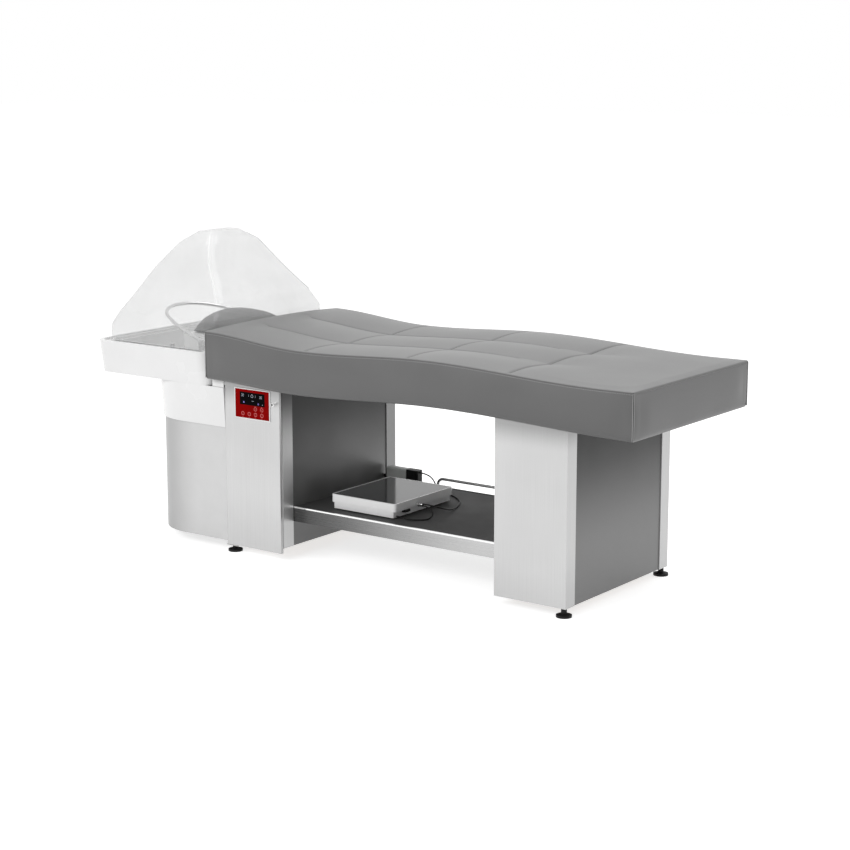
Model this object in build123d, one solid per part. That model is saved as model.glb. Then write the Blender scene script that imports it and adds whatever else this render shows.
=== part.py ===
from build123d import *
import math
import os

# Hair washing bed. Millimetres, X from the head end to the foot end, Y across, Z up.
# The origin is on the floor under the middle of the whole bed.

# Driving sizes of the whole bed
mattress_length = 1610.0
mattress_width = 685.0
tray_length = 523.0
tray_gap = 4.0
foot_overhang = 241.0
floor_clearance = 27.0
head_carcass_clearance = 43.0
deck_thickness = 18.0
wood_gap = 0.3
fit_gap = 0.05
soft_gap = 0.3
overrun = 5.0

# Mattress heights along the bed: shares of the length from the head end, and heights over the floor
top_wave_shares = (0.0, 0.25, 0.56, 0.92, 1.0)
top_wave_heights = (735.0, 708.0, 727.0, 706.0, 707.0)
bottom_wave_shares = (0.0, 0.235, 0.58, 1.0)
bottom_wave_heights = (579.0, 564.0, 585.0, 563.0)
seam_shares = (0.0, 0.245, 0.472, 0.724, 1.0)
row_station_shares = (0.06, 0.24, 0.5, 0.76, 0.94)
row_crown_shares = (0.55, 0.9, 1.0, 0.9, 0.55)
panel_crown = 13.0
seam_rise = 2.0
plain_row_share = 0.9
edge_roll = 9.0
side_draw = 5.0
deck_inset = 32.0

# Pedestals
pedestal_depth = 600.0
foot_pedestal_length = 255.0
head_pedestal_length = 237.0
pedestal_gap = 824.0
pedestal_top = 560.0
board_thickness = 50.0
sheet = 1.5
panel_recess = 3.0
panel_thickness = 12.0
base_plate = 15.0
top_plate = 15.0
saddle_inset = 20.0

# Service door, its frame, pivots and lock
door_thickness = 11.0
door_gap = 0.5
door_side_gap = 2.0
frame_stile = 42.0
frame_hinge_stile = 29.0
frame_low_rail = 40.0
frame_top_rail = 10.0
pivot_radius = 3.0
pivot_length = 12.0
pivot_plate = 3.0
pivot_plate_width = 20.0
lock_inset = 22.0
lock_drop = 41.0
lock_shaft_radius = 4.0
lock_knob_radius = 7.0
lock_knob_length = 13.0
lock_cam_length = 30.0
lock_cam_width = 8.0
lock_cam_thickness = 2.5
lock_slot_width = 11.0
lock_slot_length = 36.0
lock_reach = 4.0

# Control panel
panel_width = 150.0
panel_height = 100.0
panel_plate = 2.0
panel_border = 3.0
panel_side_offset = 47.0
panel_top_drop = 1.5
window_width = 106.0
window_height = 42.0
window_top_drop = 12.0
controller_depth = 32.0
controller_margin = 16.0
controller_wall = 2.0

# Levelling feet
foot_inset = 14.5
foot_pad_radius = 24.0
foot_pad_height = 7.0
foot_dome_height = 5.0
foot_neck_radius = 9.0
foot_stem_radius = 5.0
foot_stem_in = 34.0
foot_nut_across = 17.0
foot_nut_height = 6.0
foot_block = 26.0
foot_block_height = 18.0

# Shelf between the pedestals
shelf_height = 172.0
shelf_front_y = -248.0
shelf_rear_y = 270.0
rail_height = 45.0
rail_depth = 20.0
rear_rail_height = 20.0
shelf_board_thickness = 18.0
shelf_mat_thickness = 2.0
trim_width = 6.0
trim_height = 2.6
guard_radius = 5.0
guard_rise = 27.0
guard_start = 200.0
guard_end = 36.0
guard_bend = 22.0
guard_seat_share = 0.8

# Warming plate on the shelf
warmer_offset = 114.0
warmer_length = 260.0
warmer_width = 313.0
warmer_front = -195.0
warmer_height = 46.0
warmer_foot_height = 5.0
warmer_foot_radius = 9.0
warmer_foot_inset = 34.0
warmer_step_height = 20.0
warmer_step = 9.0
warmer_corner = 10.0
warmer_glass_thickness = 4.0
warmer_rim = 5.0
socket_radius = 7.0
socket_length = 9.0
socket_share = 0.36
switch_length = 26.0
switch_depth = 5.0
switch_height = 8.0
switch_share = 0.15

# Power strip, adapter and leads
strip_offset = 18.0
strip_length = 82.0
strip_depth = 32.0
strip_height = 54.0
strip_corner = 8.0
adapter_length = 50.0
adapter_depth = 28.0
adapter_height = 46.0
adapter_lift = 8.0
gland_radius = 6.0
gland_length = 21.0
gland_y = 242.0
gland_height = 17.0
lead_radius = 2.2
adapter_lead_height = 38.0
adapter_lead_route = ((-80.0, 240.0, 218.0), (-46.0, 236.0, 208.0), (-22.0, 228.0, 180.0),
                      (14.0, 212.0, 174.3), (62.0, 188.0, 174.3), (112.0, 160.0, 174.3),
                      (150.0, 122.0, 174.3), (174.0, 76.0, 174.3), (192.0, 28.0, 175.5),
                      (203.0, -20.0, 184.0), (203.0, -58.0, 197.0))
adapter_lead_straight = 34.0
loop_lead_straight = 23.0
loop_lead_route = ((197.0, -92.0, 186.0), (208.0, -122.0, 174.8),
                   (190.0, -156.0, 174.3), (156.0, -176.0, 176.0), (134.0, -178.0, 181.0))
plug_length = 16.0
plug_radius = 6.0
plug_lead_step = 2.8

# Basin tray
tray_half_width = 328.0
tray_bottom = 550.0
tray_height = 110.0
tray_draft = 12.0
tray_corner = 55.0
tray_wall = 14.0
tray_end_wall = 4.0
tray_floor = 10.0
ledge_drop = 8.0
ledge_width = 40.0
tray_end_deck = 48.0
tray_lip = 38.0
bracket_height = 12.0

# Bowl, its housing and the column under it
housing_height = 132.0
housing_length = 386.0
housing_half_width = 308.0
housing_corner = 190.0
housing_draft = 7.0
housing_wall = 4.0
column_bottom = 34.0
column_step = 6.0
column_wall = 1.5
bowl_offset = 205.0
bowl_length = 220.0
bowl_width = 340.0
bowl_corner = 60.0
bowl_depth = 92.0
bowl_taper = 34.0
bowl_wall = 4.0
bowl_flange = 12.0
bowl_flange_thickness = 3.0
strainer_radius = 34.0
strainer_thickness = 3.0
strainer_hole = 3.0
strainer_ring = 20.0
strainer_holes = 8
drain_radius = 20.0
drain_wall = 2.0
drain_flange = 30.0
drain_drop = 170.0
outlet_share = 0.7
trap_radius = 42.0
trap_height = 120.0
spigot_out = 26.0
outlet_collar_radius = 27.0
outlet_collar = 4.0

# Head pillow and the bridge that carries it
pillow_length = 228.0
pillow_half_width = 166.0
pillow_station_shares = (-1.0, -0.9, -0.68, -0.36, 0.0, 0.36, 0.68, 0.9, 1.0)
pillow_rise_shares = (0.16, 0.48, 0.75, 0.93, 1.0, 0.93, 0.75, 0.48, 0.16)
pillow_crest = 72.0
pillow_crest_share = 0.3
pillow_back_share = 0.86
pillow_front_share = 0.72
pillow_front_place_share = 0.25
pillow_edge = 10.0
pillow_end_draw = 30.0
bridge_thickness = 6.0
bridge_length = 190.0
bridge_half_width = 187.0
bridge_wall = 5.0
bridge_rise = 38.0
hoop_clearance = 1.5

# Water ring and its pivots
ring_radius = 6.0
ring_pivot_x = 122.0
ring_pivot_z = 672.0
ring_half_width = 212.0
ring_tilt = 15.0
ring_length_share = 0.585
ring_reach_shares = (0.0, 0.48, 0.84, 1.01)
ring_width_shares = (1.0, 0.87, 0.62, 0.24)
ring_boss_radius = 10.0
ring_boss_length = 10.0
ring_pin_radius = 4.0
ring_post = 12.0
ring_post_thickness = 5.0
bend_run_share = 0.45

# Valve knob on the tray
valve_offset = 248.0
valve_side = 228.0
valve_radius = 9.0
valve_height = 14.0
valve_stem_radius = 4.0
valve_riser_radius = 6.0
valve_riser_height = 84.0
valve_flange_height = 4.0
valve_flutes = 6
valve_flute_radius = 1.8

# Clear hood over the basin
hood_inset = 31.0
hood_side_gap = 7.0
hood_thickness = 1.5
hood_corner = 42.0
hood_corner_share = 0.8
hood_cap_share = 0.6
hood_heights = (0.0, 60.0, 105.0, 160.0, 205.0, 250.0, 300.0, 335.0, 358.0)
hood_width_shares = (1.0, 0.996, 0.985, 0.85, 0.748, 0.667, 0.562, 0.475, 0.352)
hood_head_draw_shares = (0.0, 0.0072, 0.0814, 0.14, 0.1855, 0.2416, 0.3196, 0.3711, 0.4196)
hood_foot_draw_shares = (0.0, 0.0, 0.002, 0.0346, 0.1099, 0.192, 0.2629, 0.3021, 0.3495)
hood_cap = 24.0
hood_hoop = 8.0
neck_half_width = 105.0
neck_top = 178.0
neck_bottom = 62.0

# Machine parts in the head pedestal
tank_radius = 75.0
tank_height = 320.0
tank_y = 130.0
tank_dome = 24.0
tank_foot_share = 0.6
tank_crown_share = 0.7
tank_crown_drop_share = 0.3
tank_port_radius = 9.0
tank_port_length = 16.0
pump_y = -30.0
pump_radius = 42.0
pump_length = 95.0
pump_head_radius = 50.0
pump_head_length = 34.0
pump_foot = 10.0
pump_saddle_share = 0.7
pump_port_radius = 9.0
pump_port_length = 18.0
hose_radius = 8.0
hose_bend = 30.0
inlet_height = 120.0
inlet_radius = 10.5
inlet_length = 16.0
inlet_bore_share = 0.7
inlet_nut_across = 27.0
inlet_nut_length = 12.0
inlet_y_offset = 70.0
mains_width = 48.0
mains_height = 27.0
mains_depth = 20.0
mains_z = 200.0
bezel = 4.0

# Places worked out from the sizes
overall_length = mattress_length + tray_gap + tray_length
foot_end = overall_length / 2
head_end = -overall_length / 2
mattress_head = foot_end - mattress_length
half_mattress = mattress_width / 2
foot_outer = foot_end - foot_overhang
foot_inner = foot_outer - foot_pedestal_length
head_inner = foot_inner - pedestal_gap
head_outer = head_inner - head_pedestal_length
half_depth = pedestal_depth / 2
inner_y = half_depth - board_thickness
tray_foot = head_end + tray_length
tray_top = tray_bottom + tray_height
ledge_z = tray_top - ledge_drop
pan_z = tray_bottom + tray_floor
ring_x = tray_foot - ring_pivot_x
ring_reach = tray_length * ring_length_share
pillow_base = ledge_z + bridge_rise
pillow_foot = tray_foot - hood_side_gap - hood_thickness - hood_hoop - hoop_clearance
bowl_x = tray_foot - bowl_offset
door_front = -half_depth - door_gap - door_thickness
door_top = pedestal_top
hinge_x = head_outer + door_thickness / 2 + door_gap
hinge_y = -half_depth - door_gap - door_thickness / 2
lock_x = head_inner - lock_inset
lock_z = door_top - lock_drop


def block(x0, x1, y0, y1, z0, z1):
    """A box between two corners."""
    return Pos((x0 + x1) / 2, (y0 + y1) / 2, (z0 + z1) / 2) * Box(x1 - x0, y1 - y0, z1 - z0)


def rod_z(x, y, z0, z1, radius):
    return Pos(x, y, (z0 + z1) / 2) * Cylinder(radius, z1 - z0)


def rod_y(x, y0, y1, z, radius):
    return Pos(x, (y0 + y1) / 2, z) * Rot(90, 0, 0) * Cylinder(radius, y1 - y0)


def rod_x(x0, x1, y, z, radius):
    return Pos((x0 + x1) / 2, y, z) * Rot(0, 90, 0) * Cylinder(radius, x1 - x0)


def wave(x, shares, heights):
    """Height of the mattress at x: each named height is a crest or a hollow."""
    share = (x - mattress_head) / mattress_length
    for i in range(len(shares) - 1):
        if share <= shares[i + 1] or i == len(shares) - 2:
            step = (share - shares[i]) / (shares[i + 1] - shares[i])
            ease = (1 - math.cos(math.pi * step)) / 2
            return heights[i] + (heights[i + 1] - heights[i]) * ease


def top_of(x):
    return wave(x, top_wave_shares, top_wave_heights)


def underside_of(x):
    return wave(x, bottom_wave_shares, bottom_wave_heights)


def mattress_stations():
    """Sections along the mattress: x, crown share and whether the long seams run there."""
    stations = []
    rows = len(seam_shares) - 1
    for row in range(rows):
        start = mattress_head + mattress_length * seam_shares[row]
        length = mattress_length * (seam_shares[row + 1] - seam_shares[row])
        seamed = row < rows - 1
        stations.append((start, 0.0, row < rows))
        for place, crown in zip(row_station_shares, row_crown_shares):
            stations.append((start + length * place, crown, seamed))
    stations.append((foot_end, 0.0, False))
    return stations


def underside_at(x):
    """Height of the underside between two stations, where it runs straight."""
    xs = [station[0] for station in mattress_stations()]
    for x0, x1 in zip(xs, xs[1:]):
        if x0 <= x <= x1:
            share = (x - x0) / (x1 - x0)
            return underside_of(x0) + (underside_of(x1) - underside_of(x0)) * share


def mattress_section(x, crown, seamed):
    """One cross section: sides pulled in at half height, top crowned between the seams."""
    top = top_of(x)
    under = underside_of(x)
    y_seam = mattress_width / 6
    rise = panel_crown * crown
    seam_z = top + (seam_rise if seamed else rise * plain_row_share)
    ends = x in (mattress_head, foot_end)
    edge_z = top - edge_roll
    if ends:
        seam_z = top
    middle = (edge_z + under) / 2
    outer_mid = (half_mattress + y_seam) / 2
    with BuildSketch(Plane.YZ.offset(x)) as sketch:
        with BuildLine():
            Line((-half_mattress, under), (half_mattress, under))
            ThreePointArc((half_mattress, under), (half_mattress - side_draw, middle),
                          (half_mattress, edge_z))
            ThreePointArc((half_mattress, edge_z), (outer_mid, top + max(rise, seam_rise)),
                          (y_seam, seam_z))
            ThreePointArc((y_seam, seam_z), (0, top + max(rise, seam_rise) + seam_rise),
                          (-y_seam, seam_z))
            ThreePointArc((-y_seam, seam_z), (-outer_mid, top + max(rise, seam_rise)),
                          (-half_mattress, edge_z))
            ThreePointArc((-half_mattress, edge_z), (-half_mattress + side_draw, middle),
                          (-half_mattress, under))
        make_face()
    return sketch.sketch


def deck_board():
    """Bent plywood deck, let into the underside of the mattress, flush with its lower edge."""
    x0, x1 = mattress_head + deck_inset, foot_end - deck_inset
    inner = [station[0] for station in mattress_stations() if x0 < station[0] < x1]
    low = [(x, underside_at(x)) for x in [x0] + inner + [x1]]
    high = [(x, z + deck_thickness) for x, z in reversed(low)]
    with BuildPart() as deck:
        with BuildSketch(Plane.XZ):
            with BuildLine():
                Polyline(*low, *high, close=True)
            make_face()
        extrude(amount=half_mattress - deck_inset, both=True)
    return deck.part


def mattress(deck):
    sections = [mattress_section(*station) for station in mattress_stations()]
    return loft(sections, ruled=True) - deck


def board(x0, x1, y0, y1, z0, z1):
    """Upright board made of folded sheet, open at its top and bottom."""
    shell = block(x0, x1, y0, y1, z0, z1)
    return shell - block(x0 + sheet, x1 - sheet, y0 + sheet, y1 - sheet, z0 - overrun, z1 + overrun)


def foot_places():
    """Centres of the levelling feet and the height of the carcass edge over each."""
    y = half_depth - foot_inset
    return {
        "head_front": (head_outer + foot_inset, -y, head_carcass_clearance),
        "head_rear": (head_outer + foot_inset, y, head_carcass_clearance),
        "foot_front": (foot_outer - foot_inset, -y, floor_clearance),
        "foot_rear": (foot_outer - foot_inset, y, floor_clearance),
    }


def foot_blocks():
    """Steel blocks at the lower ends of the boards, each bored for a foot's stem."""
    blocks = []
    for x, y, z in foot_places().values():
        half = foot_block / 2
        body = block(x - half, x + half, y - half, y + half, z, z + foot_block_height)
        bore = rod_z(x, y, z - overrun, z + foot_block_height + overrun, foot_stem_radius + fit_gap)
        blocks.append(body - bore)
    return Compound(blocks)


def levelling_foot(x, y, z):
    """Turned pad with a domed neck, a stem and the lock nut that carries the block."""
    with BuildPart() as pad:
        with BuildSketch(Plane.XZ):
            with BuildLine():
                Polyline((0, 0), (foot_pad_radius, 0), (foot_pad_radius, foot_pad_height))
                Line((foot_pad_radius, foot_pad_height),
                     (foot_neck_radius, foot_pad_height + foot_dome_height))
                Polyline((foot_neck_radius, foot_pad_height + foot_dome_height),
                         (foot_neck_radius, z - foot_nut_height), (0, z - foot_nut_height), (0, 0))
            make_face()
        revolve(axis=Axis.Z)
    nut = Pos(0, 0, z - foot_nut_height) * extrude(
        RegularPolygon(foot_nut_across / 2, 6, major_radius=False), foot_nut_height)
    stem = rod_z(0, 0, z - foot_nut_height, z + foot_stem_in, foot_stem_radius)
    return Pos(x, y, 0) * (pad.part + nut + stem)


def cross_plates(x0, x1, z0):
    """Base and top plates between two dark panels."""
    low = block(x0, x1, -inner_y, inner_y, z0, z0 + base_plate)
    return Compound([low, block(x0, x1, -inner_y, inner_y, pedestal_top - top_plate, pedestal_top)])


def foot_pedestal():
    """Two silver boards with dark panels, a base and a top between them."""
    z0 = floor_clearance
    parts = {}
    x0, x1 = foot_inner, foot_outer
    parts["foot_front_board"] = board(x0, x1, -half_depth, -inner_y, z0, pedestal_top)
    parts["foot_rear_board"] = board(x0, x1, inner_y, half_depth, z0, pedestal_top)
    parts["foot_outer_panel"] = block(x1 - panel_recess - panel_thickness, x1 - panel_recess,
                                      -inner_y, inner_y, z0, pedestal_top)
    parts["foot_inner_panel"] = block(x0 + panel_recess, x0 + panel_recess + panel_thickness,
                                      -inner_y, inner_y, z0, pedestal_top)
    xa = x0 + panel_recess + panel_thickness
    xb = x1 - panel_recess - panel_thickness
    parts["foot_cross_plates"] = cross_plates(xa, xb, z0)
    return parts


def head_front_frame():
    """Sheet frame round the service opening, with the slot that the lock's cam enters."""
    z0, z1 = head_carcass_clearance, pedestal_top
    x0, x1 = head_outer + frame_hinge_stile, head_inner - frame_stile
    low, high = z0 + frame_low_rail, z1 - frame_top_rail
    y0, y1 = -half_depth + sheet, -inner_y - sheet
    frame = block(head_outer, head_inner, -half_depth, -inner_y, z0, z1)
    frame = frame - block(x0, x1, -half_depth - overrun, -inner_y + overrun, low, high)
    frame = frame - block(head_outer + sheet, x0 - sheet, y0, y1, z0 - overrun, z1 + overrun)
    frame = frame - block(x1 + sheet, head_inner - sheet, y0, y1, z0 - overrun, z1 + overrun)
    frame = frame - block(x0, x1, y0, y1, z0 + sheet, low - sheet)
    frame = frame - block(x0, x1, y0, y1, high + sheet, z1 - sheet)
    return frame - block(lock_x - lock_slot_width / 2, lock_x + lock_slot_width / 2,
                         -half_depth - overrun, -half_depth + sheet + overrun,
                         lock_z - lock_slot_length / 2, lock_z + lock_slot_length / 2)


def head_rear_board():
    """Rear board with its water and mains holes."""
    rear = board(head_outer, head_inner, inner_y, half_depth, head_carcass_clearance, pedestal_top)
    water = rod_y(inlet_x(), inner_y - overrun, half_depth + overrun, inlet_height, inlet_radius + wood_gap)
    mains = block(inlet_x() - mains_width / 2, inlet_x() + mains_width / 2,
                  inner_y - overrun, half_depth + overrun,
                  mains_z - mains_height / 2, mains_z + mains_height / 2)
    return rear - water - mains


def inlet_x():
    return head_outer + inlet_y_offset


def head_pedestal():
    z0 = head_carcass_clearance
    parts = {}
    parts["head_front_frame"] = head_front_frame()
    parts["head_rear_board"] = head_rear_board()
    x1 = head_inner - panel_recess
    inner = block(x1 - panel_thickness, x1, -inner_y, inner_y, z0, pedestal_top)
    parts["head_inner_panel"] = inner
    outer = block(head_outer, head_outer + panel_thickness, -inner_y, inner_y, z0, pedestal_top)
    hose_hole = rod_x(head_outer - overrun, head_outer + panel_thickness + overrun,
                      hose_y(), hose_exit_z(), hose_radius + wood_gap)
    parts["head_outer_panel"] = outer - hose_hole
    xa = head_outer + panel_thickness
    xb = x1 - panel_thickness
    parts["head_cross_plates"] = cross_plates(xa, xb, z0)
    return parts


def saddle(x0, x1):
    """Packing block between a flat pedestal top and the bent deck."""
    tall = block(x0 + saddle_inset, x1 - saddle_inset, -inner_y, inner_y,
                 pedestal_top, max(bottom_wave_heights) + deck_thickness / 2)
    xs = [station[0] for station in mattress_stations()]
    above = [(x, underside_of(x)) for x in xs]
    lid_z = max(top_wave_heights)
    with BuildPart() as lid:
        with BuildSketch(Plane.XZ):
            with BuildLine():
                Polyline(*above, (foot_end, lid_z), (mattress_head, lid_z), close=True)
            make_face()
        extrude(amount=half_mattress, both=True)
    return tall - lid.part


def service_door():
    """Sheet door, rounded on its pivot edge, with the panel's cut-out and bores."""
    x1 = head_inner - door_side_gap
    slab = block(hinge_x, x1, door_front, -half_depth - door_gap, floor_clearance, door_top)
    nose = rod_z(hinge_x, hinge_y, floor_clearance, door_top, door_thickness / 2)
    door = slab + nose
    for z0, z1 in ((floor_clearance - overrun, floor_clearance + pivot_length),
                   (door_top - pivot_length, door_top + overrun)):
        door = door - rod_z(hinge_x, hinge_y, z0, z1, pivot_radius + fit_gap)
    px0, px1, pz0, pz1 = panel_box()
    m = controller_margin
    door = door - block(px0 + m, px1 - m, door_front - overrun, -half_depth + overrun, pz0 + m, pz1 - m)
    return door - rod_y(lock_x, door_front - overrun, -half_depth + overrun, lock_z,
                        lock_shaft_radius + fit_gap)


def panel_box():
    x0 = head_outer + panel_side_offset
    z1 = door_top - panel_top_drop
    return x0, x0 + panel_width, z1 - panel_height, z1


def control_panel():
    """Plate with a raised border and a display window."""
    x0, x1, z0, z1 = panel_box()
    plate = block(x0, x1, door_front - panel_plate, door_front, z0, z1)
    field = block(x0 + panel_border, x1 - panel_border, door_front - panel_plate - overrun,
                  door_front - panel_plate / 2, z0 + panel_border, z1 - panel_border)
    back = block(x0 + panel_border, x1 - panel_border, door_front - panel_plate / 2,
                 door_front + overrun, z0 + panel_border, z1 - panel_border)
    wx0, wx1, wz0, wz1 = window_box()
    window = block(wx0, wx1, door_front - panel_plate - overrun, door_front + overrun, wz0, wz1)
    face = block(x0 + panel_border, x1 - panel_border, door_front - panel_plate / 2,
                 door_front, z0 + panel_border, z1 - panel_border)
    return plate - field - back, face - window


def window_box():
    x0, x1, z0, z1 = panel_box()
    mid = (x0 + x1) / 2
    top = z1 - window_top_drop
    return mid - window_width / 2, mid + window_width / 2, top - window_height, top


def display_glass():
    x0, x1, z0, z1 = window_box()
    return block(x0, x1, door_front - panel_plate / 2, door_front, z0, z1)


def controller_housing():
    """Moulded box behind the panel, through the door's cut-out."""
    x0, x1, z0, z1 = panel_box()
    m = controller_margin + wood_gap
    y0 = door_front
    y1 = -half_depth - door_gap + controller_depth
    box = block(x0 + m, x1 - m, y0, y1, z0 + m, z1 - m)
    w = controller_wall
    return box - block(x0 + m + w, x1 - m - w, y0 - overrun, y1 - w, z0 + m + w, z1 - m - w)


def lock():
    """Quarter turn lock: knob, shaft and cam. At rest the cam stands in line with its slot."""
    y_back = -half_depth + sheet + lock_reach
    shaft = rod_y(lock_x, door_front, y_back + lock_cam_thickness, lock_z, lock_shaft_radius)
    knob = rod_y(lock_x, door_front - lock_knob_length, door_front, lock_z, lock_knob_radius)
    knob = chamfer(knob.edges().filter_by(GeomType.CIRCLE).sort_by(Axis.Y)[0], lock_reach / 4)
    cam = block(lock_x - lock_cam_width / 2, lock_x + lock_cam_width / 2, y_back,
                y_back + lock_cam_thickness, lock_z - lock_cam_length / 2, lock_z + lock_cam_length / 2)
    return knob + shaft + cam


def door_pivots():
    """Pivot brackets on the carcass, with the pins that enter the door."""
    x0, x1 = head_outer, head_outer + pivot_plate_width
    top_z = door_top + soft_gap
    top = block(x0, x1, door_front, -half_depth + pivot_plate_width, top_z, top_z + pivot_plate)
    pad = block(x0, x1, -half_depth, -half_depth + pivot_plate_width, pedestal_top, top_z)
    pin_top = rod_z(hinge_x, hinge_y, door_top - pivot_length + soft_gap, top_z, pivot_radius)
    low_z = floor_clearance - soft_gap
    x2 = x1 + foot_block
    plate = block(x0, x2, door_front, -half_depth + pivot_plate, low_z - pivot_plate, low_z)
    riser = block(x1 + foot_nut_across / 2, x2, -half_depth, -half_depth + pivot_plate,
                  low_z - pivot_plate, head_carcass_clearance)
    pin_low = rod_z(hinge_x, hinge_y, low_z, floor_clearance + pivot_length - soft_gap, pivot_radius)
    return Compound([top + pad + pin_top, plate + riser + pin_low])


def shelf_rail(x0, x1, y0, y1, z0, z1):
    """Rectangular tube along the shelf."""
    rail = block(x0, x1, y0, y1, z0, z1)
    return rail - block(x0 - overrun, x1 + overrun, y0 + sheet, y1 - sheet, z0 + sheet, z1 - sheet)


def shelf_rails():
    """Deep front rail between the dark panels and a low rear rail between the rear boards."""
    top = shelf_height - shelf_mat_thickness
    front = shelf_rail(head_inner - panel_recess, foot_inner + panel_recess, shelf_front_y,
                       shelf_front_y + rail_depth, top - rail_height, top)
    rear = shelf_rail(head_inner, foot_inner, shelf_rear_y - rail_depth, shelf_rear_y - sheet,
                      top - rear_rail_height, top)
    return Compound([front, rear])


def plan_d(length, half_width, corner, height, draft, x_flat):
    """Solid with one flat side at x_flat and two large rounded corners towards the head end."""
    def outline(grow):
        reach = length + grow
        half = half_width + grow
        sketch = Pos(x_flat - reach / 2, 0) * Rectangle(reach, 2 * half)
        corners = sketch.vertices().sort_by(Axis.X)[0:2]
        return fillet(corners, corner + grow)
    if draft == 0:
        return extrude(outline(0), height)
    return loft([outline(0), Pos(0, 0, height) * outline(draft)], ruled=True)


def rounded(x0, x1, half, corner, z):
    sketch = Pos((x0 + x1) / 2, 0) * RectangleRounded(x1 - x0, 2 * half, corner)
    return Pos(0, 0, z) * sketch


def basin_tray():
    """Deep white tray with a rim, a ledge for the hood, a pan and a lip under the mattress."""
    d = tray_draft
    low = rounded(head_end + d, tray_foot, tray_half_width - d, tray_corner - d, tray_bottom)
    high = rounded(head_end, tray_foot, tray_half_width, tray_corner, tray_top)
    tray = loft([low, high], ruled=True)
    w = tray_wall
    ledge = extrude(rounded(head_end + w, tray_foot - tray_end_wall, tray_half_width - w,
                            tray_corner - w, ledge_z), ledge_drop + overrun)
    tray = tray - ledge
    a = w + ledge_width
    pan_top = rounded(head_end + a, tray_foot - tray_end_deck, tray_half_width - a, tray_corner, ledge_z)
    pan_low = rounded(head_end + a + d, tray_foot - tray_end_deck, tray_half_width - a - d,
                      tray_corner - d, pan_z)
    tray = tray - loft([pan_low, pan_top], ruled=True)
    hole = rounded(bowl_x - bowl_length / 2, bowl_x + bowl_length / 2, bowl_width / 2, bowl_corner,
                   tray_bottom - overrun)
    tray = tray - extrude(hole, tray_floor + 2 * overrun)
    lip = block(tray_foot - tray_corner, tray_foot + tray_lip, -tray_half_width + tray_corner,
                tray_half_width - tray_corner, tray_bottom, tray_bottom + tray_floor)
    return tray + lip


def bowl_housing():
    """White housing of the bowl, with a floor that the column meets."""
    z0 = tray_bottom - housing_height
    outer = plan_d(housing_length, housing_half_width, housing_corner, housing_height,
                   housing_draft, head_outer)
    inner = plan_d(housing_length - housing_wall, housing_half_width - housing_wall,
                   housing_corner - housing_wall, housing_height, housing_draft,
                   head_outer - housing_wall)
    outer = Pos(0, 0, z0) * outer
    inner = Pos(0, 0, z0 + housing_wall) * inner
    hole = rod_z(bowl_x, 0, z0 - overrun, z0 + overrun + housing_wall, drain_radius + soft_gap)
    side = rod_x(head_outer - housing_wall - overrun, head_outer + overrun, hose_y(), hose_exit_z(),
                 hose_radius + wood_gap)
    return outer - inner - hole - side


def column_skirt():
    """Sheet column under the housing, open at its foot."""
    height = tray_bottom - housing_height - column_bottom
    length = housing_length - column_step
    half = housing_half_width - column_step
    outer = plan_d(length, half, housing_corner - column_step, height, 0, head_outer)
    inner = plan_d(length - 2 * column_wall, half - column_wall,
                   housing_corner - column_step - column_wall, height + 2 * overrun, 0,
                   head_outer - column_wall)
    skirt = Pos(0, 0, column_bottom) * (outer - Pos(0, 0, -overrun) * inner)
    spigot = rod_y(bowl_x, half - housing_corner, half + overrun, outlet_z(),
                   drain_radius + soft_gap)
    return skirt - spigot


def wash_bowl():
    """Oblong bowl hung in the tray's floor by its flange, narrower towards the drain."""
    def level(grow, z, taper):
        x0 = bowl_x - bowl_length / 2 + taper - grow
        x1 = bowl_x + bowl_length / 2 - taper + grow
        return rounded(x0, x1, bowl_width / 2 - taper + grow, bowl_corner, z)
    gap = wood_gap
    z_low = pan_z - bowl_depth
    outer = loft([level(-gap, z_low, bowl_taper), level(-gap, pan_z, 0)], ruled=True)
    flange = extrude(level(bowl_flange, pan_z, 0), bowl_flange_thickness)
    inner = loft([level(-bowl_wall, z_low + bowl_wall, bowl_taper),
                  level(-bowl_wall, pan_z + bowl_flange_thickness, 0)], ruled=True)
    bowl = outer + flange - inner
    return bowl - rod_z(bowl_x, 0, z_low - overrun, z_low + bowl_wall + overrun,
                        drain_radius - drain_wall)


def drain_strainer():
    z0 = pan_z - bowl_depth + bowl_wall
    disc = rod_z(bowl_x, 0, z0, z0 + strainer_thickness, strainer_radius)
    holes = rod_z(bowl_x, 0, z0 - overrun, z0 + overrun, strainer_hole)
    for i in range(strainer_holes):
        turn = 2 * math.pi * i / strainer_holes
        holes = holes + rod_z(bowl_x + strainer_ring * math.cos(turn), strainer_ring * math.sin(turn),
                              z0 - overrun, z0 + overrun, strainer_hole)
    return disc - holes


def trap_z():
    return pan_z - bowl_depth - drain_drop - trap_height


def outlet_z():
    return trap_z() + trap_height * outlet_share


def drain_pipe():
    """Flanged pipe from the bowl down into the bottle trap."""
    z1 = pan_z - bowl_depth
    z0 = trap_z() + trap_height
    pipe = rod_z(bowl_x, 0, z0, z1, drain_radius)
    flange = rod_z(bowl_x, 0, z1 - strainer_thickness, z1, drain_flange)
    return pipe + flange - rod_z(bowl_x, 0, z0 - overrun, z1 + overrun, drain_radius - drain_wall)


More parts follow.
